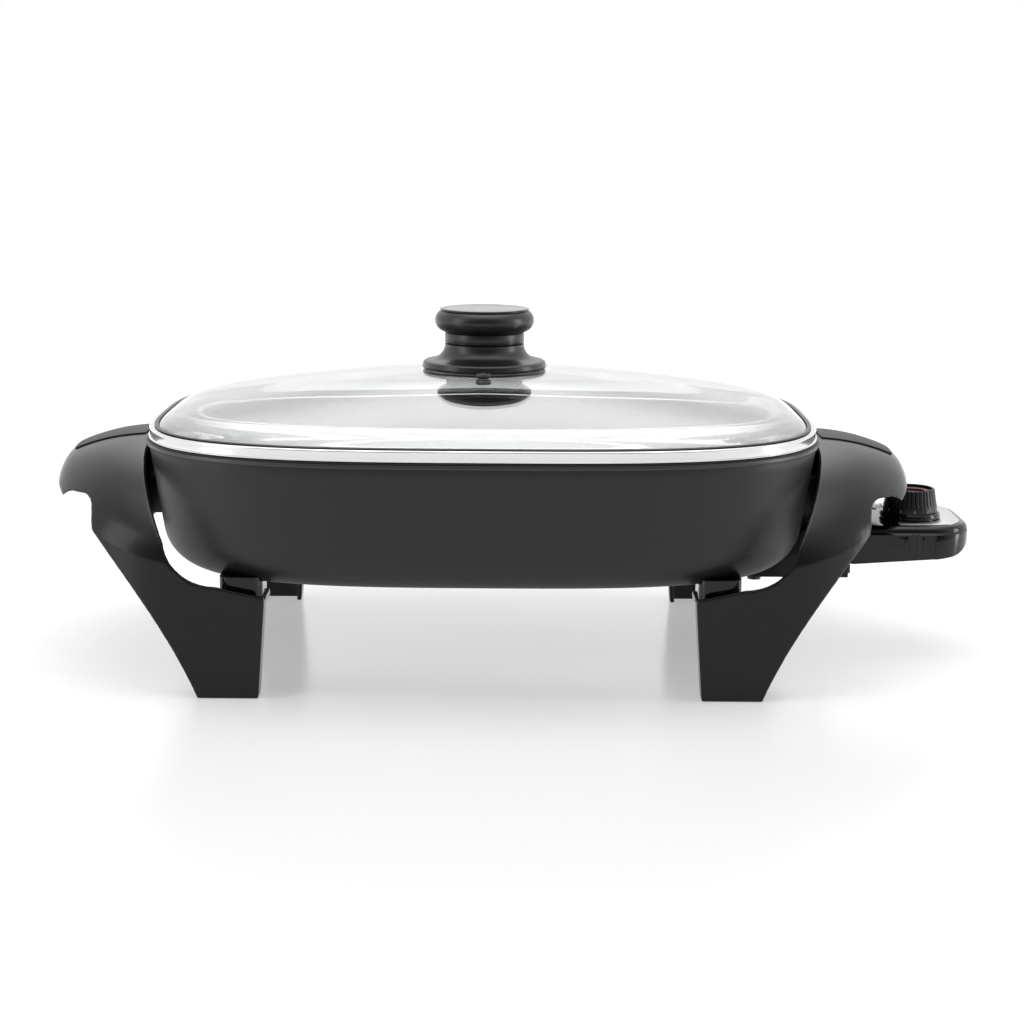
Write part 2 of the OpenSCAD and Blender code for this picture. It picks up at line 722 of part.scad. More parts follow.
module steam_vent() {
    s = (vent_y - seat_r) / (rim_w / 2 - band_grip - seat_r);
    z = bow(flat_part + s * (1 - flat_part));
    centred() color([0.75, 0.75, 0.77]) translate([0, -vent_y, 0]) difference() {
        union() {
            translate([0, 0, z + 0.6]) cylinder(r = vent_r, h = 1.2);
            translate([0, 0, z - glass_t - 2.4])
                cylinder(r = vent_r - 1 - run_fit, h = glass_t + 3.2);
            translate([0, 0, z - glass_t - 2.4]) cylinder(r = vent_r, h = 1);
        }
        translate([0, 0, z - 20]) cylinder(r = 1.6, h = 40);
    }
}

module knob_seal() {
    centred() color([0.3, 0.3, 0.3]) translate([0, 0, seat_z]) difference() {
        cylinder(r = flange_r - 1.5, h = seal_t);
        translate([0, 0, -1]) cylinder(r = flange_r - 8, h = seal_t + 2);
    }
}

module knob_base() {
    flange_h = 4.6;
    bell = [for (i = [0:8]) let (a = 90 * i / 8)
        [neck_r + (flange_r - 3 - neck_r) * (1 - sin(a)),
         flange_h + (knob_base_h - flange_h) * (1 - cos(a))]];
    centred() color([0.07, 0.07, 0.07]) translate([0, 0, seal_top_z]) difference() {
        rotate_extrude() polygon(concat(
            [[0, 0], [flange_r - 1, 0], [flange_r, 1], [flange_r, flange_h - 1.6],
             [flange_r - 1.2, flange_h - 0.4]],
            bell, [[0, knob_base_h]]));
        translate([0, 0, -1]) cylinder(r = knob_screw_r + slip_fit, h = 40);
        translate([0, 0, knob_base_h - spigot_h])
            cylinder(r = spigot_r + run_fit, h = spigot_h + 1);
        rotate_extrude() translate([14, -1]) square([10, 7]);
    }
}

module knob_head() {
    h = knob_head_h;
    ring_z = 6.8;
    mid_z = (h + ring_z) / 2;
    bulge = (h - ring_z) / 2;
    centred() color([0.07, 0.07, 0.07]) translate([0, 0, head_low_z]) difference() {
        union() {
            rotate_extrude() polygon(concat(
                [[0, 0], [neck_r - 1, 0], [neck_r, 1], [neck_r, ring_z - 0.4],
                 [neck_r - 0.8, ring_z]],
                [for (a = [-90:15:90]) [head_r - bulge + bulge * cos(a),
                    mid_z + bulge * sin(a)]],
                [[0, h]]));
            translate([0, 0, -spigot_h]) cylinder(r = spigot_r, h = spigot_h + 1);
        }
        translate([0, 0, -spigot_h - 1]) cylinder(r = knob_screw_r, h = spigot_h + 12);
        translate([0, 0, h - disc_t + 0.4]) cylinder(r = disc_r + run_fit, h = 10);
    }
}

module knob_disc() {
    centred() color([0.45, 0.45, 0.46]) translate([0, 0, head_top_z - disc_t + 0.4])
        cylinder(r = disc_r, h = disc_t);
}

module knob_washer() {
    centred() color([0.7, 0.7, 0.72]) translate([0, 0, seat_z - glass_t - washer_t]) difference() {
        cylinder(r = washer_r, h = washer_t);
        translate([0, 0, -1]) cylinder(r = knob_screw_r + slip_fit, h = washer_t + 2);
    }
}

module knob_screw() {
    z = seat_z - glass_t - washer_t;
    centred() color([0.72, 0.72, 0.74]) {
        translate([0, 0, z - 2.6]) difference() {
            cylinder(r = 5, h = 2.6);
            translate([-6, -0.6, -1]) cube([12, 1.2, 2]);
        }
        translate([0, 0, z - EPS]) cylinder(r = knob_screw_r, h = head_low_z + 8 - z);
    }
}

// Heat control -----------------------------------------------------------------------

module control_plan(inset) {
    x0 = nose_out_x + inset;
    x1 = control_out_x - inset;
    w = control_half_w - inset;
    r = control_r - inset;
    q = inner_r - min(inset, 4);
    translate([x0 + q, -w]) square([x1 - r - x0 - q, 2 * w]);
    translate([x0, q - w]) square([2 * q, 2 * (w - q)]);
    translate([x1 - r - EPS, r - w]) square([r + EPS, 2 * (w - r)]);
    for (s = [-1, 1]) {
        translate([x1 - r, s * (w - r)]) circle(r = r);
        translate([x0 + q, s * (w - q)]) circle(r = q);
    }
}

// Side view of the lower shell: the underside rises towards the outer end
module control_side(inset) {
    x1 = control_out_x - inset;
    z = control_low_z + inset;
    polygon(concat(
        [[nose_out_x, seam_z + 1], [nose_out_x, z], [x1 - 22, z + 3.4]],
        [for (a = [-72:12:0]) [x1 - 17 + 17 * cos(a), z + 16 + 12 * sin(a)]],
        [[x1, seam_z + 1]]));
}

// The nose that fits in the guard, as far as x
module control_nose(inset, x) {
    translate([nose_in_x + inset, inset - nose_half_w, nose_low_z + inset])
        cube([x - nose_in_x - inset, 2 * (nose_half_w - inset),
            nose_top_z - nose_low_z - 2 * inset]);
}

module shell_columns(z0, z1) {
    for (c = columns) for (s = [-1, 1]) translate([c[0], s * c[1], z0])
        cylinder(r = column_r, h = z1 - z0);
}

module thumb_grips() {
    at_both_sides() translate([step_x - 12, -control_half_w, seam_z - thumb_r + 0.6])
        difference() {
            y_cylinder(thumb_r, 1.6);
            for (x = [-4, 0, 4]) translate([x - 0.7, -2, -thumb_r])
                cube([1.4, 2.5, 2 * thumb_r]);
        }
}

module control_lower_shell() {
    centred() color([0.05, 0.05, 0.05]) difference() {
        union() {
            intersection() {
                translate([0, 0, control_low_z - 1])
                    linear_extrude(height = seam_z - control_low_z + 1) control_plan(0);
                front_prism(60) control_side(0);
            }
            control_nose(0, nose_out_x + 1);
            thumb_grips();
        }
        intersection() {
            translate([0, 0, control_low_z - 1])
                linear_extrude(height = 60) control_plan(control_wall);
            front_prism(60) control_side(control_wall);
            difference() {
                cube(800, center = true);
                shell_columns(0, 200);
            }
        }
        control_nose(control_wall, nose_out_x);
        translate([nose_out_x - 1, control_wall - nose_half_w, control_low_z + control_wall])
            cube([control_wall + 2, 2 * (nose_half_w - control_wall),
                nose_top_z - control_low_z - 2 * control_wall]);
        difference() {
            at_both_sides() translate([nose_in_x - 1, -control_half_w - 1, 0])
                cube([step_x - nose_in_x + 1, 1 + face_step, seam_z - 0.5]);
            thumb_grips();
        }
        for (c = columns) for (s = [-1, 1]) translate([c[0], s * c[1], 0]) {
            cylinder(r = small_screw_r + slip_fit, h = 200);
            cylinder(r = 2 * small_screw_r + slip_fit, h = control_low_z + 5);
        }
        for (s = [-1, 1]) translate([nose_in_x - 1, s * pin_half_gap, socket_z])
            x_cylinder(socket_r + run_fit, 10);
        translate([nose_in_x - 1, 0, socket_z]) x_cylinder(probe_r + run_fit, 10);
        translate([gland_x, control_half_w - 8, gland_z]) y_cylinder(gland_r - 0.8, 20);
    }
}

module control_top_shell() {
    centred() color([0.05, 0.05, 0.05]) difference() {
        hull() {
            for (l = [[0, 0], [0.3, 0.45], [0.22 * shoulder_h, 0.78], [0.5 * shoulder_h, 0.95],
                    [0.85 * shoulder_h, 1]])
                translate([0, 0, seam_z + shoulder_h * l[1] - (l[1] > 0 ? 0.05 : 0)])
                    linear_extrude(height = 0.05) control_plan(l[0]);
        }
        difference() {
            translate([0, 0, seam_z - 1])
                linear_extrude(height = shoulder_h - control_wall + 1)
                    control_plan(control_wall + 1);
            shell_columns(0, 200);
        }
        for (c = columns) for (s = [-1, 1]) translate([c[0], s * c[1], 0])
            cylinder(r = small_screw_r, h = control_top_z - 1.2);
        translate([dial_x, dial_y, 0]) cylinder(r = spindle_r + run_fit, h = 200);
        translate([indicator_x, indicator_y, 0]) cylinder(r = lens_r + run_fit, h = 200);
    }
}

indicator_x = frame_out_x - 14;
indicator_y = 22;
lens_r = 3;

module control_plate() {
    centred() color([0.75, 0.75, 0.76]) translate([0, 0, control_top_z]) difference() {
        linear_extrude(height = plate_t) intersection() {
            control_plan(shoulder_h);
            translate([dial_x - 10, -60]) square([80, 120]);
        }
        translate([dial_x, dial_y, -1]) cylinder(r = collar_r + slip_fit, h = 4);
    }
}

module indicator_lens() {
    centred() color([0.8, 0.25, 0.1]) translate([indicator_x, indicator_y, 0]) {
        translate([0, 0, seam_z + 1]) cylinder(r = lens_r, h = shoulder_h - 0.4);
        translate([0, 0, seam_z]) cylinder(r = lens_r + 1, h = 1);
    }
}

module dial_collar() {
    centred() color([0.05, 0.05, 0.05]) translate([dial_x, dial_y, control_top_z]) difference() {
        rotate_extrude() polygon([[0, 0], [collar_r - 0.3, 0], [collar_r, 0.4],
            [collar_r - 0.4, 1.5], [collar_r, 2.2], [collar_r - 0.5, collar_h],
            [0, collar_h]]);
        translate([0, 0, -1]) cylinder(r = spindle_r + run_fit, h = 10);
    }
}

module heat_probe() {
    l = carrier_x + carrier_l + 4 - probe_tip_x;
    centred() color([0.78, 0.78, 0.8]) translate([probe_tip_x, 0, socket_z]) {
        sphere(r = probe_r);
        x_cylinder(probe_r, l);
    }
}

module terminal_sockets() {
    centred() color([0.8, 0.66, 0.3]) for (s = [-1, 1])
        translate([nose_in_x + 0.6, s * pin_half_gap, socket_z]) difference() {
            x_cylinder(socket_r, socket_end_x - nose_in_x);
            translate([-1, 0, 0]) x_cylinder(pin_r + 0.1, pin_end_x - nose_in_x + 2);
        }
}

module socket_carrier() {
    centred() color([0.85, 0.8, 0.7]) difference() {
        translate([carrier_x, -pin_half_gap - 9, nose_low_z + control_wall])
            cube([carrier_l, 2 * pin_half_gap + 18, 2 * socket_r + 3]);
        for (s = [-1, 1]) translate([carrier_x - 1, s * pin_half_gap, socket_z])
            x_cylinder(socket_r + run_fit, carrier_l + 2);
        translate([carrier_x - 1, 0, socket_z]) x_cylinder(probe_r + run_fit, carrier_l + 2);
    }
}

thermostat_w = 10;
thermostat_y = -pin_half_gap - 2.5 - thermostat_w;
blade_x = nose_out_x + 3;
blade_z = control_low_z + control_wall + 3.4;
blade_end_x = dial_x + 6;

module thermostat_frame() {
    centred() color([0.7, 0.7, 0.72]) {
        translate([blade_x, thermostat_y, blade_z])
            cube([blade_end_x - blade_x, thermostat_w, 1.2]);
        translate([blade_x, thermostat_y, blade_z]) cube([1.5, thermostat_w, 12]);
    }
}

module bimetal_blade() {
    centred() color([0.75, 0.6, 0.35])
        translate([blade_x + 1.5, thermostat_y + 2, blade_z + 4])
            cube([blade_end_x - blade_x - 4, thermostat_w - 4, 0.8]);
}

module contact_blades() {
    centred() color([0.8, 0.5, 0.25]) for (i = [0, 1])
        translate([blade_x + 1.5, thermostat_y + 3, blade_z + 6.6 + 2.6 * i])
            cube([blade_end_x - blade_x - 8 - 6 * i, thermostat_w - 6, 0.6]);
}

module control_leads() {
    x = socket_end_x + 0.6;
    y = pin_half_gap;
    rise = control_low_z + control_wall + 3.4 - socket_z;
    centred() color([0.5, 0.3, 0.15]) for (s = [-1, 1]) {
        translate([x, s * y, socket_z]) x_cylinder(1.2, 1.4);
        translate([x + 1.4, s * y, socket_z]) sphere(r = 1.2, $fn = 24);
        translate([x + 1.4, s * y, socket_z]) cylinder(r = 1.2, h = rise);
        translate([x + 1.4, s * y, socket_z + rise]) sphere(r = 1.2, $fn = 24);
        translate([x + 1.4, s * y, socket_z + rise]) x_cylinder(1.2, 6);
    }
}

module cord_gland() {
    centred() color([0.04, 0.04, 0.04]) translate([gland_x, control_half_w, gland_z]) difference() {
        union() {
            intersection() {
                translate([0, -control_wall - 2.4, 0]) y_cylinder(gland_r, 2);
                cube([3 * gland_r, 20, 2 * gland_r - 3], center = true);
            }
            translate([0, -control_wall - 2.4, 0]) y_cylinder(gland_r - 0.86, control_wall + 4);
            rotate([-90, 0, 0]) cylinder(r1 = gland_r, r2 = cord_r + 1.2, h = gland_l);
        }
        translate([0, -control_wall - 4, 0]) y_cylinder(cord_r, gland_l + 10);
    }
}

module control_screws() {
    centred() color([0.6, 0.6, 0.62]) for (c = columns) for (s = [-1, 1])
        translate([c[0], s * c[1], control_low_z + 5 - 1.6]) {
            cylinder(r = 2 * small_screw_r, h = 1.6);
            cylinder(r = small_screw_r, h = control_top_z - control_low_z - 5.2);
        }
}

// Dial --------------------------------------------------------------------------------

module dial_knob() {
    centred() color([0.08, 0.08, 0.08]) translate([dial_x, dial_y, dial_low_z]) difference() {
        cylinder(r1 = dial_r, r2 = dial_top_r, h = dial_h);
        translate([0, 0, dial_h - dish_d]) cylinder(r = dial_top_r - 1.6, h = 10);
        translate([0, 0, -1]) cylinder(r = spindle_r, h = dial_h - dish_d - 1);
        for (i = [0:dial_grooves - 1]) rotate([0, 0, 360 * i / dial_grooves])
            translate([dial_r + 0.1, 0, 3]) rotate([0, -atan((dial_r - dial_top_r) / dial_h), 0])
                cylinder(r = 0.8, h = dial_h + 4);
    }
}

module dial_ring() {
    centred() color([0.6, 0.06, 0.08]) translate([dial_x, dial_y, dial_top_z - dish_d]) difference() {
        cylinder(r = dial_top_r - 1.8, h = 0.6);
        translate([0, 0, -1]) cylinder(r = dial_top_r - 5, h = 3);
    }
}

module dial_spindle() {
    centred() color([0.7, 0.7, 0.72]) translate([dial_x, dial_y, spindle_low_z]) {
        cylinder(r = spindle_r, h = dial_low_z + dial_h - dish_d - 2 - spindle_low_z);
        cylinder(r = spindle_r + 1.6, h = 3);
    }
}

skillet_pan();
heating_element();
element_straps();
terminal_pins();
pin_insulators();
terminal_guard();
guard_screws();
left_handle_frame();
right_handle_frame();
left_grip_inlay();
right_grip_inlay();
left_handle_bracket();
right_handle_bracket();
bracket_screws();
left_leg_pads();
right_leg_pads();
leg_screws();
lid_glass();
lid_band();
steam_vent();
knob_seal();
knob_base();
knob_head();
knob_disc();
knob_washer();
knob_screw();
control_top_shell();
control_lower_shell();
control_plate();
indicator_lens();
dial_collar();
heat_probe();
terminal_sockets();
socket_carrier();
thermostat_frame();
bimetal_blade();
contact_blades();
control_leads();
cord_gland();
control_screws();
dial_knob();
dial_ring();
dial_spindle();
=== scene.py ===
"""Electric skillet: a cast pan on two moulded handle-and-leg frames, with a glass lid and
a plug-in heat control. A panel in the 3D view's sidebar has a button for each piece. The
buttons read the sizes and colours above them.
"""

from math import atan, cos, pi, radians, sin, sqrt, tan

import bmesh
import bpy
from bpy.props import FloatProperty, FloatVectorProperty, IntProperty, PointerProperty
from mathutils import Matrix, Vector


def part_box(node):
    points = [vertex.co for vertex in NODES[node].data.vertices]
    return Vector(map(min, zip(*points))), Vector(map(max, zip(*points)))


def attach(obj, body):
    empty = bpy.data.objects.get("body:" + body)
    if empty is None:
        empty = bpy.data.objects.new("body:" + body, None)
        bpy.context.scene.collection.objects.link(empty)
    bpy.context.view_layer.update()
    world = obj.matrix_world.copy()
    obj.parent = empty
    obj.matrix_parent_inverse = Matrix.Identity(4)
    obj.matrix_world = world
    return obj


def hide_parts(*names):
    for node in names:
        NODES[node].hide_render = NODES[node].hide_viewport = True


bl_info = {
    "name": "Electric skillet",
    "version": (1, 0, 0),
    "blender": (4, 5, 0),
    "location": "View3D > Sidebar > Skillet",
    "description": "Builds the pan, frames, lid and heat control of an electric skillet",
    "category": "Object",
}

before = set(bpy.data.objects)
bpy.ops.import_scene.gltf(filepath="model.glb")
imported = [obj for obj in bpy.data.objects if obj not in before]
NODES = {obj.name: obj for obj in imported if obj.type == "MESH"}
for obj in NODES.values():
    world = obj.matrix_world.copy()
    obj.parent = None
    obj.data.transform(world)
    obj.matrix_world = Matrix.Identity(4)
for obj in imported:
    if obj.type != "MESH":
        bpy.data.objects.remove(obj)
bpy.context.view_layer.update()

MM = 0.001
TURN = 2 * pi
# The pieces are drawn from the middle of the pan, which stands this far along X from the
# origin, under the middle of the whole object
PAN_X = sum(corner[0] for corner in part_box("skillet_pan")) / 2 / MM


def box_of(name):
    """Lowest and highest corner of a CAD node in mm, from the middle of the pan."""
    low, high = ([c / MM for c in corner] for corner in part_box(name))
    low[0] -= PAN_X
    high[0] -= PAN_X
    return low, high


def foot_of(name):
    """The point under the middle of a CAD node where it starts, and its height, in mm."""
    low, high = box_of(name)
    return ((low[0] + high[0]) / 2, (low[1] + high[1]) / 2, low[2]), high[2] - low[2]


BAND_LOW, BAND_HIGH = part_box("lid_band")


# Sizes and colours ------------


class SkilletSizes(bpy.types.PropertyGroup):
    rim_length: FloatProperty(
        name="Rim length", description="Length of the lid band's outline",
        default=BAND_HIGH[0] - BAND_LOW[0], min=0.35, max=0.42, unit="LENGTH")
    rim_width: FloatProperty(
        name="Rim width", description="Width of the lid band's outline",
        default=BAND_HIGH[1] - BAND_LOW[1], min=0.27, max=0.32, unit="LENGTH")
    plastic_cell: FloatProperty(
        name="Moulding detail", description="Cell size of the moulded frames' surface",
        default=0.00105, min=0.001, max=0.004, unit="LENGTH")
    dial_ribs: IntProperty(
        name="Dial ribs", description="Ribs round the skirt of the dial",
        default=36, min=12, max=60)
    rib_depth: FloatProperty(
        name="Rib depth", description="How deep the grooves between the dial's ribs are",
        default=0.00042, min=0.0002, max=0.001, unit="LENGTH")
    dial_marks: IntProperty(
        name="Dial marks", description="Short lines round the foot of the dial",
        default=9, min=2, max=24)
    mark_step: FloatProperty(
        name="Mark step", description="Degrees from one line on the dial to the next",
        default=30.0, min=8.0, max=40.0)


class SkilletColours(bpy.types.PropertyGroup):
    pan_coat: FloatVectorProperty(
        name="Pan coat", description="Outside of the pan", subtype="COLOR",
        size=3, default=(0.0095, 0.0095, 0.0099), min=0, max=1)
    pan_inside: FloatVectorProperty(
        name="Pan inside", description="Cooking surface", subtype="COLOR",
        size=3, default=(0.012, 0.012, 0.0125), min=0, max=1)
    plastic: FloatVectorProperty(
        name="Plastic", description="Moulded handles, knob and heat control",
        subtype="COLOR", size=3, default=(0.006, 0.006, 0.0062), min=0, max=1)
    grip: FloatVectorProperty(
        name="Grip pads", description="Matt pads on top of the grips", subtype="COLOR",
        size=3, default=(0.03, 0.03, 0.031), min=0, max=1)
    dial_mark: FloatVectorProperty(
        name="Dial ring", description="Ring in the dish of the dial", subtype="COLOR",
        size=3, default=(0.085, 0.004, 0.008), min=0, max=1)


def sizes():
    return bpy.context.scene.skillet_sizes


def colours():
    return bpy.context.scene.skillet_colours


# Modelling helpers ------------


def clear():
    """Back to object mode with nothing selected."""
    if bpy.context.object and bpy.context.object.mode != "OBJECT":
        bpy.ops.object.mode_set(mode="OBJECT")
    bpy.ops.object.select_all(action="DESELECT")


def choose(*pieces):
    """Selects these pieces, the first one active."""
    clear()
    for piece in pieces:
        piece.select_set(True)
    bpy.context.view_layer.objects.active = pieces[0]
    return pieces[0]


def named(piece, name):
    piece.name = name
    piece.data.name = name
    return piece


def settle(piece):
    """Puts the object's own place and size into its mesh."""
    choose(piece)
    bpy.ops.object.transform_apply()
    return piece


def edit(piece):
    """Into edit mode with all of the piece selected."""
    choose(piece)
    bpy.ops.object.mode_set(mode="EDIT")
    bpy.ops.mesh.select_all(action="SELECT")


def merge(piece, distance=1e-6):
    """Joins points that touch, and turns every face outwards."""
    edit(piece)
    bpy.ops.mesh.remove_doubles(threshold=distance)
    bpy.ops.mesh.normals_make_consistent(inside=False)
    bpy.ops.object.mode_set(mode="OBJECT")
    return piece


def smooth(piece, degrees=35):
    choose(piece)
    bpy.ops.object.shade_smooth_by_angle(angle=radians(degrees))
    return piece


def modifier(piece, kind, **values):
    """Adds a modifier with these values and applies it."""
    choose(piece)
    bpy.ops.object.modifier_add(type=kind)
    made = piece.modifiers[-1]
    for key, value in values.items():
        setattr(made, key, value)
    name = made.name
    bpy.ops.object.modifier_apply(modifier=name)
    if name in piece.modifiers:
        raise RuntimeError(f"{piece.name}: {kind} could not be applied")
    return piece


def cut(piece, tool, operation="DIFFERENCE", solver="MANIFOLD"):
    modifier(piece, "BOOLEAN", object=tool, operation=operation, solver=solver)
    bpy.data.meshes.remove(tool.data)
    return piece


def join(piece, *others):
    choose(piece, *others)
    bpy.ops.object.join()
    return piece


def loft(name, rings, closed=False, materials=(), slots=()):
    """A circle extruded once for each further ring, with each ring moved to its own outline
    (mm). A closed one joins its last ring to the first, and any other is filled at both
    ends. slots gives each step from ring to ring its place among the materials."""
    count = len(rings[0])
    clear()
    bpy.ops.mesh.primitive_circle_add(vertices=count, radius=1, fill_type="NOTHING")
    piece = named(bpy.context.object, name)
    edit(piece)
    form = bmesh.from_edit_mesh(piece.data)
    number = form.verts.layers.int.new("number")
    form.verts.layers.int.new("step")
    for i, vertex in enumerate(form.verts):
        vertex[number] = i
        vertex.co = [c * MM for c in rings[0][i]]
    if closed:
        rings = rings + [rings[0]]
    for k, ring in enumerate(rings[1:], 1):
        bmesh.update_edit_mesh(piece.data)
        bpy.ops.mesh.extrude_region_move()
        form = bmesh.from_edit_mesh(piece.data)
        number = form.verts.layers.int["number"]
        step = form.verts.layers.int["step"]
        for vertex in form.verts:
            if vertex.select:
                vertex.co = [c * MM for c in ring[vertex[number]]]
                vertex[step] = k
    bmesh.update_edit_mesh(piece.data)
    if not closed:
        bpy.ops.mesh.select_all(action="SELECT")
        bpy.ops.mesh.fill_holes(sides=0)
    bpy.ops.object.mode_set(mode="OBJECT")
    piece.data.attributes.remove(piece.data.attributes["number"])
    merge(piece)
    for made in materials:
        piece.data.materials.append(made)
    if slots:
        step = [value.value for value in piece.data.attributes["step"].data]
        for face in piece.data.polygons:
            face.material_index = slots[min(step[v] for v in face.vertices)]
    piece.data.attributes.remove(piece.data.attributes["step"])
    return piece


def oval(a, b, power, z, count=256):
    """A superellipse ring at height z, its points at even angles."""
    ring = []
    for i in range(count):
        t = TURN * i / count
        c, s = cos(t), sin(t)
        r = (abs(c / a) ** power + abs(s / b) ** power) ** (-1 / power)
        ring.append((r * c, r * s, z))
    return ring


# Points on the axis keep this radius until merge() joins them
AXIS_R = 0.0002


def turned(name, profile, foot, count=96, closed=False, wave=None):
    """A turned piece that stands on foot, from (radius, height) pairs. wave changes the
    radius by height and angle."""
    x0, y0, z0 = foot
    rings = []
    for r, z in profile:
        ring = []
        for i in range(count):
            t = TURN * i / count
            rr = max(r, AXIS_R)
            if wave:
                rr = wave(rr, z, t)
            ring.append((x0 + rr * cos(t), y0 + rr * sin(t), z0 + z))
        rings.append(ring)
    return loft(name, rings, closed=closed)


def fillet(points, radii, steps=5, closed=True):
    """The same outline with its corners rounded (2-D points, one radius for each)."""
    n = len(points)
    out = []
    for i, (p, r) in enumerate(zip(points, radii)):
        if r <= 0 or (not closed and i in (0, n - 1)):
            out.append(p)
            continue
        a = Vector(points[i - 1]) - Vector(p)
        b = Vector(points[(i + 1) % n]) - Vector(p)
        half = a.angle(b) / 2
        reach = min(r / tan(half), a.length * 0.49, b.length * 0.49)
        r = reach * tan(half)
        start = Vector(p) + a.normalized() * reach
        end = Vector(p) + b.normalized() * reach
        middle = Vector(p) + (a.normalized() + b.normalized()).normalized() * (
            r / sin(half))
        v0, v1 = start - middle, end - middle
        for k in range(steps + 1):
            v = v0.slerp(v1, k / steps, v0) if v0.length > 0 else v0
            out.append(tuple(middle + v))
    return out


def prism(name, outline, y0, y1):
    """An outline drawn in X and Z (mm), extruded from y0 to y1."""
    return loft(name, [[(x, y0, z) for x, z in outline], [(x, y1, z) for x, z in outline]])


def block(name, low, high):
    clear()
    middle = [(a + b) / 2 * MM for a, b in zip(low, high)]
    bpy.ops.mesh.primitive_cube_add(size=1, location=middle,
                                    scale=[(b - a) * MM for a, b in zip(low, high)])
    return settle(named(bpy.context.object, name))


def rod(name, start, axis, r, length, count=32):
    """A cylinder from start (mm) along X, Y or Z."""
    clear()
    turn = {"X": (0, pi / 2, 0), "Y": (pi / 2, 0, 0), "Z": (0, 0, 0)}[axis]
    middle = list(start)
    middle["XYZ".index(axis)] += length / 2
    bpy.ops.mesh.primitive_cylinder_add(
        vertices=count, radius=r * MM, depth=length * MM,
        location=[c * MM for c in middle], rotation=turn)
    return settle(named(bpy.context.object, name))


def finish(piece, body, slot, node_name=None, key=None, own=False):
    """Gives a piece the finish of key, or of slot when there is no key, puts it in its body,
    and hides the CAD node that it stands for. own keeps the materials that the piece has."""
    if not own:
        piece.data.materials.clear()
        piece.data.materials.append(finishes(key or slot))
    for layer in list(piece.data.uv_layers):
        piece.data.uv_layers.remove(layer)
    piece.location.x = PAN_X * MM
    settle(piece)
    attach(piece, body)
    if node_name:
        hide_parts(node_name)


def stand_in(node_name, name, body, slot, bevel, segments=2, angle=30):
    """A merged copy of a CAD node with its hard edges rounded, which stands for it."""
    source = NODES[node_name]
    mesh = source.data.copy()
    piece = bpy.data.objects.new(name, mesh)
    bpy.context.collection.objects.link(piece)
    piece.matrix_world = Matrix.Translation((-PAN_X * MM, 0, 0)) @ source.matrix_world
    mesh.name = name
    edit(settle(piece))
    bpy.ops.mesh.remove_doubles(threshold=2e-6)
    bpy.ops.mesh.dissolve_limited(angle_limit=radians(2))
    bpy.ops.object.mode_set(mode="OBJECT")
    modifier(piece, "BEVEL", width=bevel * MM, segments=segments, limit_method="ANGLE",
             angle_limit=radians(angle), miter_outer="MITER_ARC")
    finish(smooth(piece, 40), body, slot, node_name)


# Materials ------------


def group(name, make, **inputs):
    """A shared node group, made once. make gets the tree and its inputs, and gives back a
    normal and the masks that the group puts out."""
    if name in bpy.data.node_groups:
        return bpy.data.node_groups[name]
    tree = bpy.data.node_groups.new(name, "ShaderNodeTree")

    def socket(label, side):
        kind = "Vector" if label in ("Stretch", "Normal") else "Float"
        return tree.interface.new_socket(label.replace("_", " "), in_out=side,
                                         socket_type="NodeSocket" + kind)

    for label, value in inputs.items():
        socket(label, "INPUT").default_value = value
    results = make(tree, tree.nodes.new("NodeGroupInput").outputs)
    end = tree.nodes.new("NodeGroupOutput")
    for label, source in results.items():
        socket(label, "OUTPUT")
        tree.links.new(source, end.inputs[label])
    return tree


def node(tree, kind, links=None, **values):
    """A shader node with these settings; links give what feeds a socket, or its value."""
    made = tree.nodes.new("ShaderNode" + kind)
    for key, value in values.items():
        setattr(made, key, value)
    for socket, value in (links or {}).items():
        if hasattr(value, "is_output"):
            tree.links.new(value, made.inputs[socket])
        else:
            made.inputs[socket].default_value = value
    return made


def maths(tree, operation, first, second=0.0):
    return node(tree, "Math", {0: first, 1: second}, operation=operation).outputs[0]


def spread(tree, value, low, high, to_low=0.0, to_high=1.0, **settings):
    """Stretches low to high over to_low to to_high."""
    return node(tree, "MapRange", {
        "Value": value, "From Min": low, "From Max": high, "To Min": to_low,
        "To Max": to_high}, **settings).outputs["Result"]


def noise(tree, place, scale, detail, rough=0.5, bend=0.0):
    return node(tree, "TexNoise", {
        "Vector": place, "Scale": scale, "Detail": detail, "Roughness": rough,
        "Distortion": bend}).outputs["Fac"]


def grain_group():
    """Fine moulding grain, soft patches and rare specks, from the place on the object."""
    def make(tree, given):
        place = node(tree, "TexCoord").outputs["Object"]
        fine = noise(tree, place, given["Grain scale"], 4.0, 0.6)
        soft = noise(tree, place, given["Patch scale"], 3.0, 0.55, bend=0.6)
        cells = node(tree, "TexVoronoi", {
            "Vector": place, "Scale": given["Speck scale"]}).outputs["Distance"]
        bump = node(tree, "Bump", {
            "Strength": given["Relief"], "Distance": 0.0002, "Height": fine})
        return {"Normal": bump.outputs["Normal"], "Grain": fine,
                "Patch": spread(tree, soft, 0.35, 0.68),
                "Speck": spread(tree, cells, 0.06, 0.02)}
    return group("Moulded grain", make, Grain_scale=900.0, Patch_scale=18.0,
                 Speck_scale=260.0, Relief=0.15)


def brushed_group():
    """Fine lines along one direction, from a stretched noise."""
    def make(tree, given):
        place = node(tree, "TexCoord").outputs["Object"]
        stretched = node(tree, "Mapping", {
            "Vector": place, "Scale": given["Stretch"]}).outputs["Vector"]
        lines = noise(tree, stretched, 1.0, 5.0, 0.65)
        soft = noise(tree, place, 22.0, 2.0)
        bump = node(tree, "Bump", {
            "Strength": given["Relief"], "Distance": 0.0001, "Height": lines})
        return {"Normal": bump.outputs["Normal"], "Lines": lines,
                "Patch": spread(tree, soft, 0.35, 0.65)}
    return group("Brushed lines", make, Stretch=(60.0, 60.0, 3000.0), Relief=0.1)


def shade(colour, factor):
    return tuple(min(1.0, c * factor) for c in colour) + (1.0,)


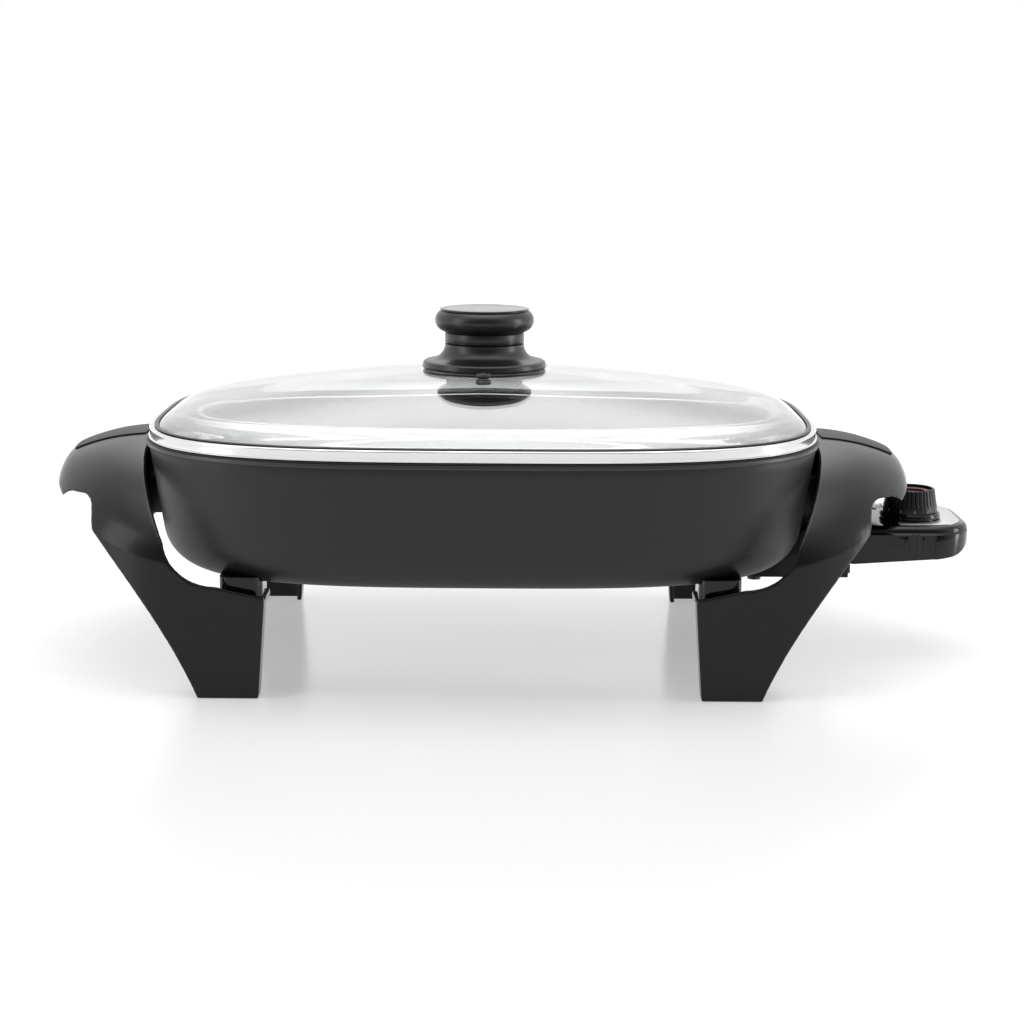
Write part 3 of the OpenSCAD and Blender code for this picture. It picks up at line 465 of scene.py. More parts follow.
def material(name, colour, rough=(0.3, 0.4), vary=0.1, scale=900.0, relief=0.05,
             specks=0.0, stretch=None, patch_scale=18.0, lit_through=False, **shader):
    """A material whose colour, roughness and relief vary over the piece. One with a
    stretch is brushed, and one that is lit through hardly stops the lamps' light."""
    made = bpy.data.materials.new(name)
    made.use_nodes = True
    tree = made.node_tree
    tree.nodes.clear()
    if stretch:
        source = node(tree, "Group", {"Stretch": stretch, "Relief": relief},
                      node_tree=brushed_group())
        fine = source.outputs["Lines"]
    else:
        source = node(tree, "Group", {
            "Grain scale": scale, "Patch scale": patch_scale, "Relief": relief},
            node_tree=grain_group())
        fine = source.outputs["Grain"]
    tint = node(tree, "Mix", {
        0: source.outputs["Patch"], 6: shade(colour, 1 - vary / 2),
        7: shade(colour, 1 + vary / 2)}, data_type="RGBA").outputs[2]
    if specks:
        dots = maths(tree, "MULTIPLY", source.outputs["Speck"], specks)
        tint = node(tree, "Mix", {0: dots, 6: tint, 7: shade(colour, 3.0)},
                    data_type="RGBA").outputs[2]
    main = node(tree, "BsdfPrincipled", {
        "Base Color": tint, "Roughness": spread(tree, fine, 0.3, 0.7, *rough),
        "Normal": source.outputs["Normal"]})
    for key, value in shader.items():
        label = key.replace("_", " ").title().replace("Ior", "IOR")
        main.inputs[label].default_value = value
    if lit_through:
        shadow = node(tree, "LightPath").outputs["Is Shadow Ray"]
        tree.links.new(spread(tree, shadow, 0.0, 1.0, 1.0, 0.1), main.inputs["Alpha"])
    node(tree, "OutputMaterial", {"Surface": main.outputs["BSDF"]})
    return made


def finishes(key):
    """The material for each kind of surface, made when it is first asked for."""
    c = colours()
    plastic = tuple(c.plastic)
    table = {
        "pan_coat": (c.pan_coat, dict(
            rough=(0.4, 0.48), scale=1400.0, relief=0.06, specks=0.1,
            specular_ior_level=0.45)),
        # the lip's lower edge is painted lighter, a painted highlight; the rest of the lip
        # is darker and duller than the coat, painted shade under the band
        "pan_edge_painted_highlight": ((0.05, 0.05, 0.05), {}),
        "pan_lip_painted_shade": ((0.006, 0.006, 0.006), dict(
            rough=(0.4, 0.5), specular_ior_level=0.2)),
        "pan_inside": (c.pan_inside, dict(
            vary=0.08, relief=0.04, scale=300.0, patch_scale=9.0)),
        "element_sheath": ((0.17, 0.15, 0.13), dict(
            rough=(0.45, 0.6), vary=0.5, relief=0.3, metallic=1.0, patch_scale=35.0)),
        "bright_steel": ((0.55, 0.55, 0.56), dict(
            rough=(0.2, 0.34), vary=0.12, stretch=(900.0, 900.0, 200.0),
            relief=0.12, metallic=1.0)),
        "dark_steel": ((0.035, 0.035, 0.036), dict(
            rough=(0.2, 0.3), vary=0.15, relief=0.04)),
        "pin_ceramic": ((0.8, 0.77, 0.7), dict(rough=(0.35, 0.5), relief=0.1)),
        "black_moulding": (plastic, dict(
            rough=(0.3, 0.36), vary=0.2, scale=2200.0, relief=0.02,
            specular_ior_level=0.4)),
        "frame_moulding": (plastic, dict(
            rough=(0.2, 0.24), vary=0.15, scale=2400.0, relief=0.006,
            specular_ior_level=0.32)),
        "grip_pad": (c.grip, dict(
            rough=(0.5, 0.6), vary=0.15, scale=1800.0, relief=0.2,
            specular_ior_level=0.4)),
        "black_steel": ((0.006, 0.006, 0.006), dict(
            rough=(0.36, 0.46), relief=0.02, specular_ior_level=0.3)),
        "black_gloss": ((0.005, 0.005, 0.005), dict(
            rough=(0.08, 0.14), relief=0.006, scale=500.0, specular_ior_level=0.4)),
        "clear_glass": ((0.97, 0.985, 0.98), dict(
            rough=(0.0, 0.01), vary=0.01, scale=40.0, relief=0.0,
            transmission_weight=1.0, ior=1.75, lit_through=True)),
        "polished_steel": ((0.74, 0.74, 0.745), dict(
            rough=(0.1, 0.16), vary=0.04, stretch=(25.0, 25.0, 2500.0),
            relief=0.03, metallic=1.0)),
        # a dark bead that paints the shadow in the groove between the band and the glass
        "groove_painted_shade": ((0.02, 0.02, 0.02), {}),
        "seal_rubber": ((0.3, 0.3, 0.3), dict(rough=(0.5, 0.65), vary=0.15, relief=0.2)),
        "silver_plate": ((0.62, 0.62, 0.63), dict(
            vary=0.05, stretch=(40.0, 2600.0, 40.0),
            relief=0.06, metallic=0.9)),
        "amber_lens": ((0.06, 0.012, 0.004), dict(
            rough=(0.05, 0.1), relief=0.0, scale=200.0, coat_weight=0.6)),
        "socket_brass": ((0.62, 0.42, 0.14), dict(
            rough=(0.22, 0.35), vary=0.2, stretch=(60.0, 1500.0, 1500.0),
            relief=0.12, metallic=1.0)),
        "carrier_plastic": ((0.62, 0.52, 0.36), dict(
            rough=(0.4, 0.5), vary=0.12, relief=0.15)),
        "lead_sleeve": ((0.3, 0.12, 0.04), dict(rough=(0.4, 0.5), vary=0.15, relief=0.1)),
        "dial_ring": (c.dial_mark, dict(rough=(0.25, 0.35), vary=0.12)),
        "mark_paint": ((0.5, 0.5, 0.5), dict(rough=(0.4, 0.5))),
        "knob_plastic": ([1.7 * level for level in plastic], dict(
            rough=(0.27, 0.33), relief=0.015)),
        "knob_disc": ((0.19, 0.19, 0.195), dict(
            rough=(0.16, 0.24), vary=0.06, stretch=(30.0, 2200.0, 30.0),
            metallic=1.0)),
    }
    name = key.replace("_", " ").capitalize()
    colour, settings = table[key]
    return bpy.data.materials.get(name) or material(name, colour, **settings)


# Pieces ------------

# Lengths from here on are mm, from the middle of the pan and from the table. The pan and
# the lid share one outline in plan, a superellipse drawn in by an inset.
RIM_POWER = 3.26


def rim(inset, z):
    s = sizes()
    return oval(s.rim_length / MM / 2 - inset, s.rim_width / MM / 2 - inset, RIM_POWER, z)


# The pan's section is a list of insets and heights
PAN_BOTTOM, PAN_FLOOR, PAN_TOP = 62.0, 66.5, 137
OUTER_R, INNER_R = 26, 22.5
WALL_TOP, WALL_THICK, WALL_LEAN = 133.5, 3.5, 0.15
LIP_LOW = 134.5
LIP_OUT = (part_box("skillet_pan")[1][1] - BAND_HIGH[1]) / MM
LEAN = atan(WALL_LEAN)


def wall_inset(z):
    return 1 - LIP_OUT + WALL_LEAN * (WALL_TOP - z)


OUTER_Z, INNER_Z = PAN_BOTTOM + OUTER_R, PAN_FLOOR + INNER_R
OUTER_INSET, INNER_INSET = (wall_inset(z) + OUTER_R / cos(LEAN)
                            for z in (OUTER_Z, INNER_Z))

# Where the frames are screwed on: under the pan, and at its ends
FOOT_X, FOOT_Y = 129.5, 99.9
BRACKET_X = box_of("right_handle_bracket")[0][0]
SIDE_Y, SIDE_Z, SIDE_REACH = 24, 112, 9.5


def arc(inset, z, r, start, end, steps):
    """Points of the section round a corner of the pan."""
    out = []
    for i in range(steps + 1):
        a = start + (end - start) * i / steps
        out.append((inset - r * cos(a), z + r * sin(a)))
    return out


def make_pan():
    down = -pi / 2
    outer = [(OUTER_INSET + d, PAN_BOTTOM) for d in (110, 70, 30)]
    outer += arc(OUTER_INSET, OUTER_Z, OUTER_R, down, -LEAN, 14)
    outer += [(wall_inset(z), z) for z in (100, 116, 128, 132)]
    lip = fillet([(wall_inset(132), 132), (wall_inset(WALL_TOP), WALL_TOP),
                  (-LIP_OUT, LIP_LOW), (-LIP_OUT, PAN_TOP), (WALL_THICK, PAN_TOP),
                  (wall_inset(LIP_LOW) + WALL_THICK, LIP_LOW),
                  (wall_inset(128) + WALL_THICK, 128)],
                 [0, 0.5, 0.3, 0.9, 1.2, 0.6, 0], 4, closed=False)[1:]
    inner = [(wall_inset(z) + WALL_THICK, z) for z in (116, 104)]
    inner += arc(INNER_INSET, INNER_Z, INNER_R, -LEAN, down, 12)
    inner += [(OUTER_INSET + d, PAN_FLOOR) for d in (30, 70, 110)]

    # the coat, a painted highlight along the lower edge of the lip, the cooking surface, and
    # painted shade over the rest of the lip
    surfaces = ["pan_coat", "pan_edge_painted_highlight", "pan_inside", "pan_lip_painted_shade"]
    coat, edge, inside, top = range(4)
    slots = [coat] * len(outer)
    for inset, z in lip:
        if inset >= 2:
            slots.append(inside)
        elif z < 134:
            slots.append(coat)
        else:
            slots.append(edge if z < 134.7 and inset < 0 else top)
    slots += [inside] * len(inner)
    pan = loft("skillet_pan_body", [rim(i, z) for i, z in outer + lip + inner],
               materials=[finishes(key) for key in surfaces], slots=slots)
    smooth(pan, 38)

    # the cast boss that carries the element's ends and the probe's well
    boss = block("pan_boss", (155, -23, 54), (187, 23, PAN_FLOOR))
    modifier(boss, "BEVEL", width=1.2 * MM, segments=3)
    for y, r in ((-15, 4.66), (15, 4.66), (0, 3.3)):
        cut(boss, rod("bore", (150, y, 60), "X", r, 50), solver="EXACT")
    parts = [smooth(boss, 35)]
    for sx in (-1, 1):
        for sy in (-1, 1):
            outline = fillet([(2.02, 64), (2.02, 59), (5, 59), (5, 64)], [0, 0.3, 0.5, 0], 3,
                             False)
            parts.append(smooth(turned("pan_foot_boss", outline,
                                       (sx * FOOT_X, sy * FOOT_Y, 0), count=32)))
            # a boss for each screw at the ends, with a web under it
            start = BRACKET_X - SIDE_REACH if sx > 0 else -BRACKET_X
            side = rod("pan_side_boss", (start, sy * SIDE_Y, SIDE_Z), "X", 5, SIDE_REACH)
            web = block("pan_side_web", (start, sy * SIDE_Y - 2.5, 86),
                        (start + SIDE_REACH, sy * SIDE_Y + 2.5, 110))
            for part in (side, web):
                modifier(part, "BEVEL", width=0.5 * MM, segments=2, limit_method="ANGLE")
                parts.append(smooth(part))
    for part in parts:
        part.data.materials.append(finishes("pan_coat"))
    join(pan, *parts)
    finish(pan, "base", "pan_coat", "skillet_pan", own=True)


# The frames' crowned shell: one outline in plan, and one height along it. In what
# follows, t is how far a form is drawn in from the outside.
FRAME_OUT = box_of("right_handle_frame")[1][0]
CORNER_R, CORNER_Y, HALF_D = 90.0, 37.0, 127.0
CORNER_X = FRAME_OUT - CORNER_R
SPRING_Z, CREST_Z, CROWN_POWER = 73, 133, 2.1
FRAME_THICK = 3
# heights, and how far the outline is tucked in there towards the grip's lip
TUCKS = [(-10, 8), (100.5, 8), (103, 7.2), (105.5, 5.6), (107.5, 4.1), (109.5, 2.8),
         (111.5, 1.7), (113.5, 0.8), (115.5, 0.3), (117.5, 0), (153, 0)]
# the legs: inner and outer edge at the floor, and the height of the pads' tabs
TOE_IN, TOE_OUT, HEEL_IN, TAB_Z = 123.5, 157.5, 119.5, 55.5
# the round cut along the pan's corner, and the hollow for the fingers
PAN_CUT_X, PAN_CUT_Z, PAN_CUT_R = 195 - OUTER_INSET - 15, 92, 28.6
HOLLOW_X, HOLLOW_Z, HOLLOW_R = 227.2, 100.4, 7
SCREW_R = 2.2


def plan_half(x, t):
    if x <= CORNER_X:
        return HALF_D - t
    return CORNER_Y + sqrt(max(0, (CORNER_R - t) ** 2 - (x - CORNER_X) ** 2))


def crest(x, t):
    """Height of the ridge, which falls slowly along the grip and fast at its end."""
    u = (x - BRACKET_X) / (FRAME_OUT - t - BRACKET_X)
    return CREST_Z - t - (0 if u <= 0 else 13 * u ** 2 + 10 * u ** 19)


def dome_height(x, y, t=0.0):
    h = sqrt(max(0, 1 - min(1, abs(y) / plan_half(x, t)) ** CROWN_POWER))
    return SPRING_Z + (crest(x, t) - SPRING_Z) * h


def curl(t):
    """The outline in plan, tucked in towards the grip's lip."""
    r = CORNER_R - t
    turns = [radians(3 * i) for i in range(31)]
    rings = []
    for z, tuck in TUCKS:
        ring = [(0, -CORNER_Y - r, z)]
        for side, angles in ((-1, turns), (1, turns[::-1])):
            ring += [(CORNER_X + (r - tuck) * sin(a),
                      side * (CORNER_Y + r * cos(a)), z) for a in angles]
        rings.append(ring + [(0, CORNER_Y + r, z)])
    return loft("curl", rings)


def dome(t):
    reach = FRAME_OUT - t - CORNER_X
    stations = [103.5, 133.25, 150, CORNER_X]
    stations += [CORNER_X + reach * sin(radians(a))
                 for a in (*range(3, 84, 3), 84, 86, 88)]
    rings = []
    for x in stations + [FRAME_OUT - t]:
        w = plan_half(x, t)
        ring = [(x, w, -1.0)]
        for i in range(73):
            y = w * cos(pi * i / 72)
            ring.append((x, y, dome_height(x, y, t)))
        rings.append(ring + [(x, -w, -1.0)])
    return cut(loft("dome", rings), curl(t), "INTERSECT")


def leg_edge(u):
    """The leg's outer edge, from the floor at 0 to the grip at 1."""
    return (TOE_OUT + 61.2 * u - 24 * u * (1 - u), 91 * u)


def round_points(x, z, r, degrees):
    return [(x + r * cos(radians(a)), z + r * sin(radians(a)))
            for a in degrees]


def make_frame():
    """The right frame: a hollow shell trimmed to its outline from the front."""
    face = [(TOE_IN, -2), (TOE_IN, 0), (HEEL_IN, 57.5)]
    face += round_points(PAN_CUT_X, PAN_CUT_Z, PAN_CUT_R, range(-90, -9, 4))
    face += [(188.1, 112), (195.6, 127), (BRACKET_X, 138), (260, 138), (260, 99.6)]
    # the lip of the grip hooks in under the hollow for the fingers
    face += [(248.5, 99.6), (245.5, 100.1), (243.4, 101.6), (241.4, 103.8), (238.6, 105.8),
             (234.6, 107)]
    face += round_points(HOLLOW_X, HOLLOW_Z, HOLLOW_R, range(90, 181, 10))
    face += [leg_edge(u / 24) for u in range(24, -1, -1)] + [(TOE_OUT, -2)]
    shell = dome(0)
    cut(shell, dome(FRAME_THICK))
    cut(shell, prism("face", face, 200, -200), "INTERSECT")
    cut(shell, block("floor_cut", (0, -300, -20), (400, 300, 0)))
    # the inner wall that is screwed to the pan's bracket
    wall = block("wall", (BRACKET_X + 4, -54, 77), (BRACKET_X + 7, 54, 145))
    cut(wall, dome(1), "INTERSECT")
    cut(shell, wall, "UNION")
    # flanges inside the legs, and the tabs under the pads
    edge = [leg_edge(0.6 * i / 12) for i in range(13)]
    outer = edge + [(x - 4, z) for x, z in reversed(edge)]
    inner = [(TOE_IN, 0), (HEEL_IN, TAB_Z), (HEEL_IN + 3, TAB_Z), (TOE_IN + 3, 0)]
    for side in (-1, 1):
        ends = side * 112.8, side * 126.9
        for outline in (outer, inner):
            flange = prism("flange", outline, max(ends), min(ends))
            cut(flange, dome(0.4), "INTERSECT")
            cut(shell, flange, "UNION")
        y0, y1 = sorted((side * (FOOT_Y - 8), side * 125.5))
        cut(shell, block("tab", (120, y0, TAB_Z - 4), (148, y1, TAB_Z)), "UNION")
    # the raised finger arch in the outer side of the grip
    arch = fillet([(-62, 70), (62, 70), (62, 108), (-62, 108)], [0, 0, 13, 13], 10)
    cut(shell, loft("arch", [[(x, y, z) for y, z in arch] for x in (BRACKET_X + 11, 300)]))
    merge(shell)
    # one even skin over all of it softens the joins
    shell.data.remesh_voxel_size = sizes().plastic_cell
    shell.data.use_remesh_fix_poles = False
    shell.data.use_remesh_preserve_volume = True
    choose(shell)
    bpy.ops.object.voxel_remesh()
    modifier(shell, "SMOOTH", factor=0.5, iterations=6)
    for side in (-1, 1):
        for start, axis in (((BRACKET_X + 2.4, side * SIDE_Y, SIDE_Z), "X"),
                            ((FOOT_X, side * FOOT_Y, 50), "Z")):
            cut(shell, rod("hole", start, axis, SCREW_R, 8), solver="EXACT")
    return smooth(shell, 60)


def mirrored(piece, name):
    """A copy with its own mesh at the other end."""
    choose(piece)
    bpy.ops.object.duplicate()
    other = named(bpy.context.object, name)
    other.scale = (-1, 1, 1)
    settle(other)
    return merge(other, 1e-7)


def make_frames():
    right = named(make_frame(), "right_handle_frame_shell")
    left = mirrored(right, "left_handle_frame_shell")
    for piece, stands_for in ((right, "right_handle_frame"), (left, "left_handle_frame")):
        finish(piece, "base", "black_moulding", stands_for, "frame_moulding")


# The grip pads: where they start and end along X, half their width, and their thickness
PAD_IN, PAD_OUT, PAD_HALF, PAD_THICK = 201.0, 244.4, 18.9, 0.75


def make_grip_pads():
    clear()
    bpy.ops.mesh.primitive_grid_add(x_subdivisions=36, y_subdivisions=36, size=2)
    pad = named(bpy.context.object, "right_grip_pad")
    for vertex in pad.data.vertices:
        u, v = vertex.co.x, vertex.co.y
        # the square grid is drawn in to rounded corners
        k = 1 - 0.035 * (abs(u) ** 6) * (abs(v) ** 6)
        x = (PAD_IN + PAD_OUT) / 2 + (PAD_OUT - PAD_IN) / 2 * u * k
        y = PAD_HALF * v * k
        vertex.co = (x * MM, y * MM, (dome_height(x, y) + 0.02) * MM)
    modifier(pad, "SOLIDIFY", thickness=PAD_THICK * MM, offset=1.0)
    modifier(pad, "BEVEL", width=0.3 * MM, segments=3, limit_method="ANGLE",
             angle_limit=radians(40))
    merge(pad)
    smooth(pad)
    other = smooth(mirrored(pad, "left_grip_pad"))
    for piece, stands_for in ((pad, "right_grip_inlay"), (other, "left_grip_inlay")):
        finish(piece, "base", "grip_matte", stands_for, "grip_pad")


def make_brackets():
    for side in ("left", "right"):
        stand_in(side + "_handle_bracket", side + "_bracket_plate", "base", "black_steel",
                 bevel=0.6)


def make_leg_pads():
    for side in ("left", "right"):
        stand_in(side + "_leg_pads", side + "_pan_pads", "base", "black_gloss", bevel=1.8,
                 segments=5)


def make_guard():
    stand_in("terminal_guard", "guard_hood", "base", "black_steel", bevel=0.5, segments=3)


# The glass: round and flat under the knob, then bowed down to a steep edge
GLASS_THICK = 3.8
GLASS_X, GLASS_Y = 191.4, 144.4
FLAT_R = 37.5
FLAT = FLAT_R / GLASS_X
EDGE_Z, EDGE_RISE, BOW_RISE = 142.2, 7, 23
KNOB_HOLE_R, VENT_HOLE_R = 2.62, 2.95


def bow(k):
    """Height of the glass's top, from k 1 at the edge to FLAT at the knob."""
    return EDGE_Z + EDGE_RISE * (1 - k ** 24) + BOW_RISE * (1 - k ** 1.72)


def glass_ring(k, z):
    s = (k - FLAT) / (1 - FLAT)
    return oval(FLAT_R + s * (GLASS_X - FLAT_R), FLAT_R + s * (GLASS_Y - FLAT_R),
                2 + 1.26 * s, z)


def make_glass():
    ks = [1 - 0.0025 * i for i in range(8)] + [0.978, 0.972, 0.965]
    ks += [0.955 - 0.009 * i for i in range(18)]
    ks += [0.802 - i * (0.802 - FLAT) / 24 for i in range(1, 25)]
    under = bow(FLAT) - GLASS_THICK
    rings = [oval(KNOB_HOLE_R, KNOB_HOLE_R, 2, under), oval(20, 20, 2, under)]
    rings += [glass_ring(k, bow(k) - GLASS_THICK) for k in reversed(ks)]
    edge = fillet([(3.6, EDGE_Z - GLASS_THICK), (1.2, EDGE_Z - 3.6), (1.2, EDGE_Z - 0.2),
                   (3.6, EDGE_Z)], [0, 0.8, 0.8, 0], 3, False)[1:-1]
    rings += [rim(i, z) for i, z in edge]
    rings += [glass_ring(k, bow(k)) for k in ks]
    rings += [oval(20, 20, 2, bow(FLAT)), oval(KNOB_HOLE_R, KNOB_HOLE_R, 2, bow(FLAT))]
    glass = loft("lid_glass_dome", rings, closed=True)
    (x0, y0, _), _ = foot_of("steam_vent")
    cut(glass, rod("vent_hole", (x0, y0, 155), "Z", VENT_HOLE_R, 30, 48), solver="EXACT")
    finish(smooth(glass, 40), "lid", "clear_glass", "lid_glass")


def make_band():
    """The rolled steel band, with a thin dark bead where it meets the glass, painted shade
    that stands for the shadow in the groove there.
    """
    steel = fillet([(0.3, 137.4), (0, 137.9), (0, 138.4), (0, 142.0), (0, 143.4),
                    (3.3, 143.4)], [0.2, 0.2, 0, 0, 1.0, 0], 4, False)
    bead = fillet([(3.3, 143.4), (3.45, 143.62), (4.2, 143.66), (4.5, 143.3),
                   (4.0, 142.75), (3.5, 142.4), (3.2, 142.4)],
                  [0, 0.05, 0.05, 0, 0, 0, 0], 3, False)[1:]
    channel = fillet([(3.2, 142.4), (1, 142.4), (1, 138.4), (8, 138.4), (8, 137.4),
                      (0.3, 137.4)], [0, 0, 0.3, 0.2, 0.3, 0], 4, False)
    slots = [0] * (len(steel) - 1) + [1] * len(bead) + [0] * len(channel)
    surfaces = [finishes(key) for key in ("polished_steel", "groove_painted_shade")]
    band = loft("lid_rim_band", [rim(i, z) for i, z in steel + bead + channel[1:-1]],
                closed=True, materials=surfaces, slots=slots)
    finish(smooth(band, 40), "lid", "polished_steel", "lid_band", own=True)


def make_vent():
    foot, height = foot_of("steam_vent")
    outline = fillet([(1.6, 0), (3.9, 0), (3.9, 1), (2.84, 1), (2.84, height - 1.2),
                      (3.9, height - 1.2), (3.9, height), (1.6, height)],
                     [0.2, 0.3, 0.3, 0, 0, 0.2, 0.5, 0.4], 3)
    vent = smooth(turned("steam_vent_eyelet", outline, foot, count=48, closed=True))
    finish(vent, "lid", "bright_steel", "steam_vent", "dark_steel")


def make_knob():
    low, high = box_of("knob_base")
    outline = fillet([(2.6, 0), (14, 0), (14, 6), (24, 6), (24, 0), (36, 0), (36.5, 0.8),
                      (36.5, 3), (35.3, 4.2)], [0, 0.3, 0, 0, 0.3, 0.3, 0.3, 0.7, 0.6], 4,
                     False)
    # the bell sweeps in and up to the neck
    for i in range(15):
        a = pi / 2 * i / 14
        outline.append((23.8 + 9.7 * (1 - sin(a)), 4.6 + 9.4 * (1 - cos(a))))
    outline += [(9.06, 14), (9.06, 6), (2.6, 6)]
    base = turned("knob_bell", outline, (0, 0, low[2]), count=128, closed=True)
    finish(smooth(base, 30), "lid", "black_moulding", "knob_base", "knob_plastic")

    # the grip: a spigot, a neck and a round bulge with a shallow seat for the disc
    h, neck, reach = 20.5, 6.8, 29.7
    bulge, middle = (h - neck) / 2, (h + neck) / 2
    outline = [(2.4, -8), (8.6, -8), (9, -7.6), (9, 0), (22.8, 0), (23.4, 0.2), (23.8, 0.9),
               (23.8, 5.6), (23.5, 6.3), (22.8, neck), (22.9, neck)]
    for i in range(25):
        a = -pi / 2 + pi * i / 24
        outline.append((reach - bulge + bulge * cos(a), middle + bulge * sin(a)))
    outline += [(26.9, h), (26.5, h - 0.12), (26.26, h - 0.4), (26.26, h - 0.8),
                (2.4, h - 0.8)]
    head = turned("knob_grip", outline, (0, 0, high[2] + 0.4), count=128, closed=True)
    finish(smooth(head, 30), "lid", "black_moulding", "knob_head", "knob_plastic")

    low, high = box_of("knob_disc")
    t = high[2] - low[2]
    outline = [(0, 0), (26, 0), (26.2, 0.2), (26.2, t - 0.35), (26.05, t - 0.1), (25.7, t),
               (25.2, t), (24.9, t - 0.1), (24.6, t - 0.14), (0, t - 0.14)]
    disc = turned("knob_top_disc", outline, (0, 0, low[2]), count=128)
    finish(smooth(disc, 20), "lid", "bright_steel", "knob_disc", "knob_disc")


def make_control_body():
    stand_in("control_top_shell", "control_cover", "control", "black_gloss", bevel=0.35,
             angle=35)
    stand_in("control_lower_shell", "control_case", "control", "black_gloss", bevel=0.3,
             angle=40)
    stand_in("cord_gland", "cord_sleeve", "control", "black_moulding", bevel=0.25)


def make_control_face():
    stand_in("control_plate", "control_face_plate", "control", "silver_plate", bevel=0.15)
    foot, h = foot_of("indicator_lens")
    lens = turned("signal_lens", [(0, 0), (4, 0), (4, 1), (3, 1), (3, h - 0.7),
                                  (2.8, h - 0.4), (2.4, h - 0.18), (1.6, h - 0.05), (0, h)],
                  foot, count=48)
    finish(smooth(lens, 40), "control", "amber_lens", "indicator_lens")
    foot, _ = foot_of("dial_collar")
    outline = fillet([(3.06, 0), (17.4, 0), (17.6, 0.5), (17.2, 1.5), (17.6, 2.4),
                      (17.3, 4.4), (3.06, 4.4)], [0, 0.2, 0.3, 0.5, 0.5, 0.6, 0], 4)
    collar = smooth(turned("dial_seat", outline, foot, closed=True))
    finish(collar, "control", "black_gloss", "dial_collar")


# The dial's ribs start at this radius and height, and are at full depth 1 mm further up
RIBS_IN, RIBS_LOW = 13.6, 3.4


def make_dial():
    s = sizes()
    foot, _ = foot_of("dial_knob")
    depth = s.rib_depth / MM

    def ribs(r, z, t):
        if r < RIBS_IN or z < RIBS_LOW:
            return r
        fade = min(1.0, (z - RIBS_LOW) / 1.0)
        groove = max(0.0, cos(t * s.dial_ribs)) ** 3
        return r - depth * groove * fade

    outline = [(3.0, 0), (15.9, 0), (16.2, 0.3), (16.18, 1.4), (16.1, 2.4), (15.95, 3.4),
               (15.8, 4.4), (15.3, 6.9), (14.9, 9.5), (14.5, 12.2), (14.3, 13.2),
               (14.0, 13.75), (13.5, 14.0), (13.0, 13.95), (12.75, 13.7), (12.7, 13.2),
               (12.7, 11.0), (0.001, 11.0), (0.001, 10.0), (3.0, 10.0)]
    knob = turned("dial_cap", outline, foot, count=360, closed=True, wave=ribs)
    finish(smooth(knob, 40), "dial", "black_moulding", "dial_knob")

    # short printed lines round the foot of the skirt
    mark = block("dial_marks", (15.9, -0.22, 0.9), (16.27, 0.22, 2.5))
    for _ in range(s.dial_marks - 1):
        choose(mark)
        bpy.ops.object.mode_set(mode="EDIT")
        bpy.ops.mesh.duplicate()
        bpy.ops.transform.rotate(value=radians(s.mark_step), orient_axis="Z",
                                 center_override=(0, 0, 0))
        bpy.ops.object.mode_set(mode="OBJECT")
    mark.location = [c * MM for c in foot]
    settle(mark)
    finish(mark, "dial", "dial_red", key="mark_paint")

    foot, _ = foot_of("dial_ring")
    outline = fillet([(9.3, 0), (12.5, 0), (12.5, 0.6), (9.3, 0.6)], [0, 0, 0.2, 0.2], 3)
    ring = smooth(turned("dial_colour_ring", outline, foot, closed=True))
    finish(ring, "dial", "dial_red", "dial_ring", "dial_ring")


# Which of the small pieces that keep their own shape have which finish
CARRIED = {
    "element_sheath": ["heating_element"],
    "bright_steel": ["element_straps", "terminal_pins", "knob_washer", "knob_screw",
                     "heat_probe", "thermostat_frame", "control_screws", "dial_spindle"],
    "pin_ceramic": ["pin_insulators"],
    "dark_steel": ["guard_screws", "bracket_screws", "leg_screws"],
    "seal_rubber": ["knob_seal"],
    "socket_brass": ["terminal_sockets", "bimetal_blade", "contact_blades"],
    "carrier_plastic": ["socket_carrier"],
    "lead_sleeve": ["control_leads"],
}


def make_metalwork():
    for key, names in CARRIED.items():
        for name in names:
            for slot in NODES[name].material_slots:
                slot.material = finishes(key)


# Stage ------------

# How much of the floor's white only the eye and mirrors see, near the skillet and far off
FLOOR_GLOW_NEAR, FLOOR_GLOW_FAR = 0.37, 0.72
FLOOR_SIZE, FLOOR_Z = 80, -0.0002
# The sky's light on matt surfaces, and what shiny ones see of it behind the camera and
# everywhere else
SKY_FILL, SKY_BEHIND, SKY_WHITE = 0.36, 0.15, 1.06
# each lamp: place, target, width and height, power
LAMPS = {
    "lamp_top": ((0, -0.1, 1.6), (0, 0, 0.08), (2.6, 2.0), 37),
    "lamp_left": ((-1.5, -0.7, 0.7), (0, 0, 0.1), (0.7, 1.3), 5),
    "lamp_right": ((2.0, -0.15, 0.45), (0, 0, 0.1), (0.45, 1.2), 9),
    "lamp_back": ((PAN_X * MM, 1.9, 2.0), (PAN_X * MM, 0, 0.2), (3.0, 2.8), 37),
}
SOFT_LAMPS = ("lamp_back", "lamp_top")
LENS_MM, SENSOR_MM = 73.65, 36
CAMERA_PLACE = (0.01722 + PAN_X * MM, -1.254, 0.3222)
CAMERA_TILT, CAMERA_ROLL = radians(79.19), 0.00697


def seen_by_eye(tree, *more):
    """1 for rays from the camera or through glass, and for the further kinds of ray."""
    path = node(tree, "LightPath")
    seen = path.outputs["Is Camera Ray"]
    for kind in (*more, "Is Transmission Ray"):
        seen = maths(tree, "MAXIMUM", seen, path.outputs[kind])
    return seen


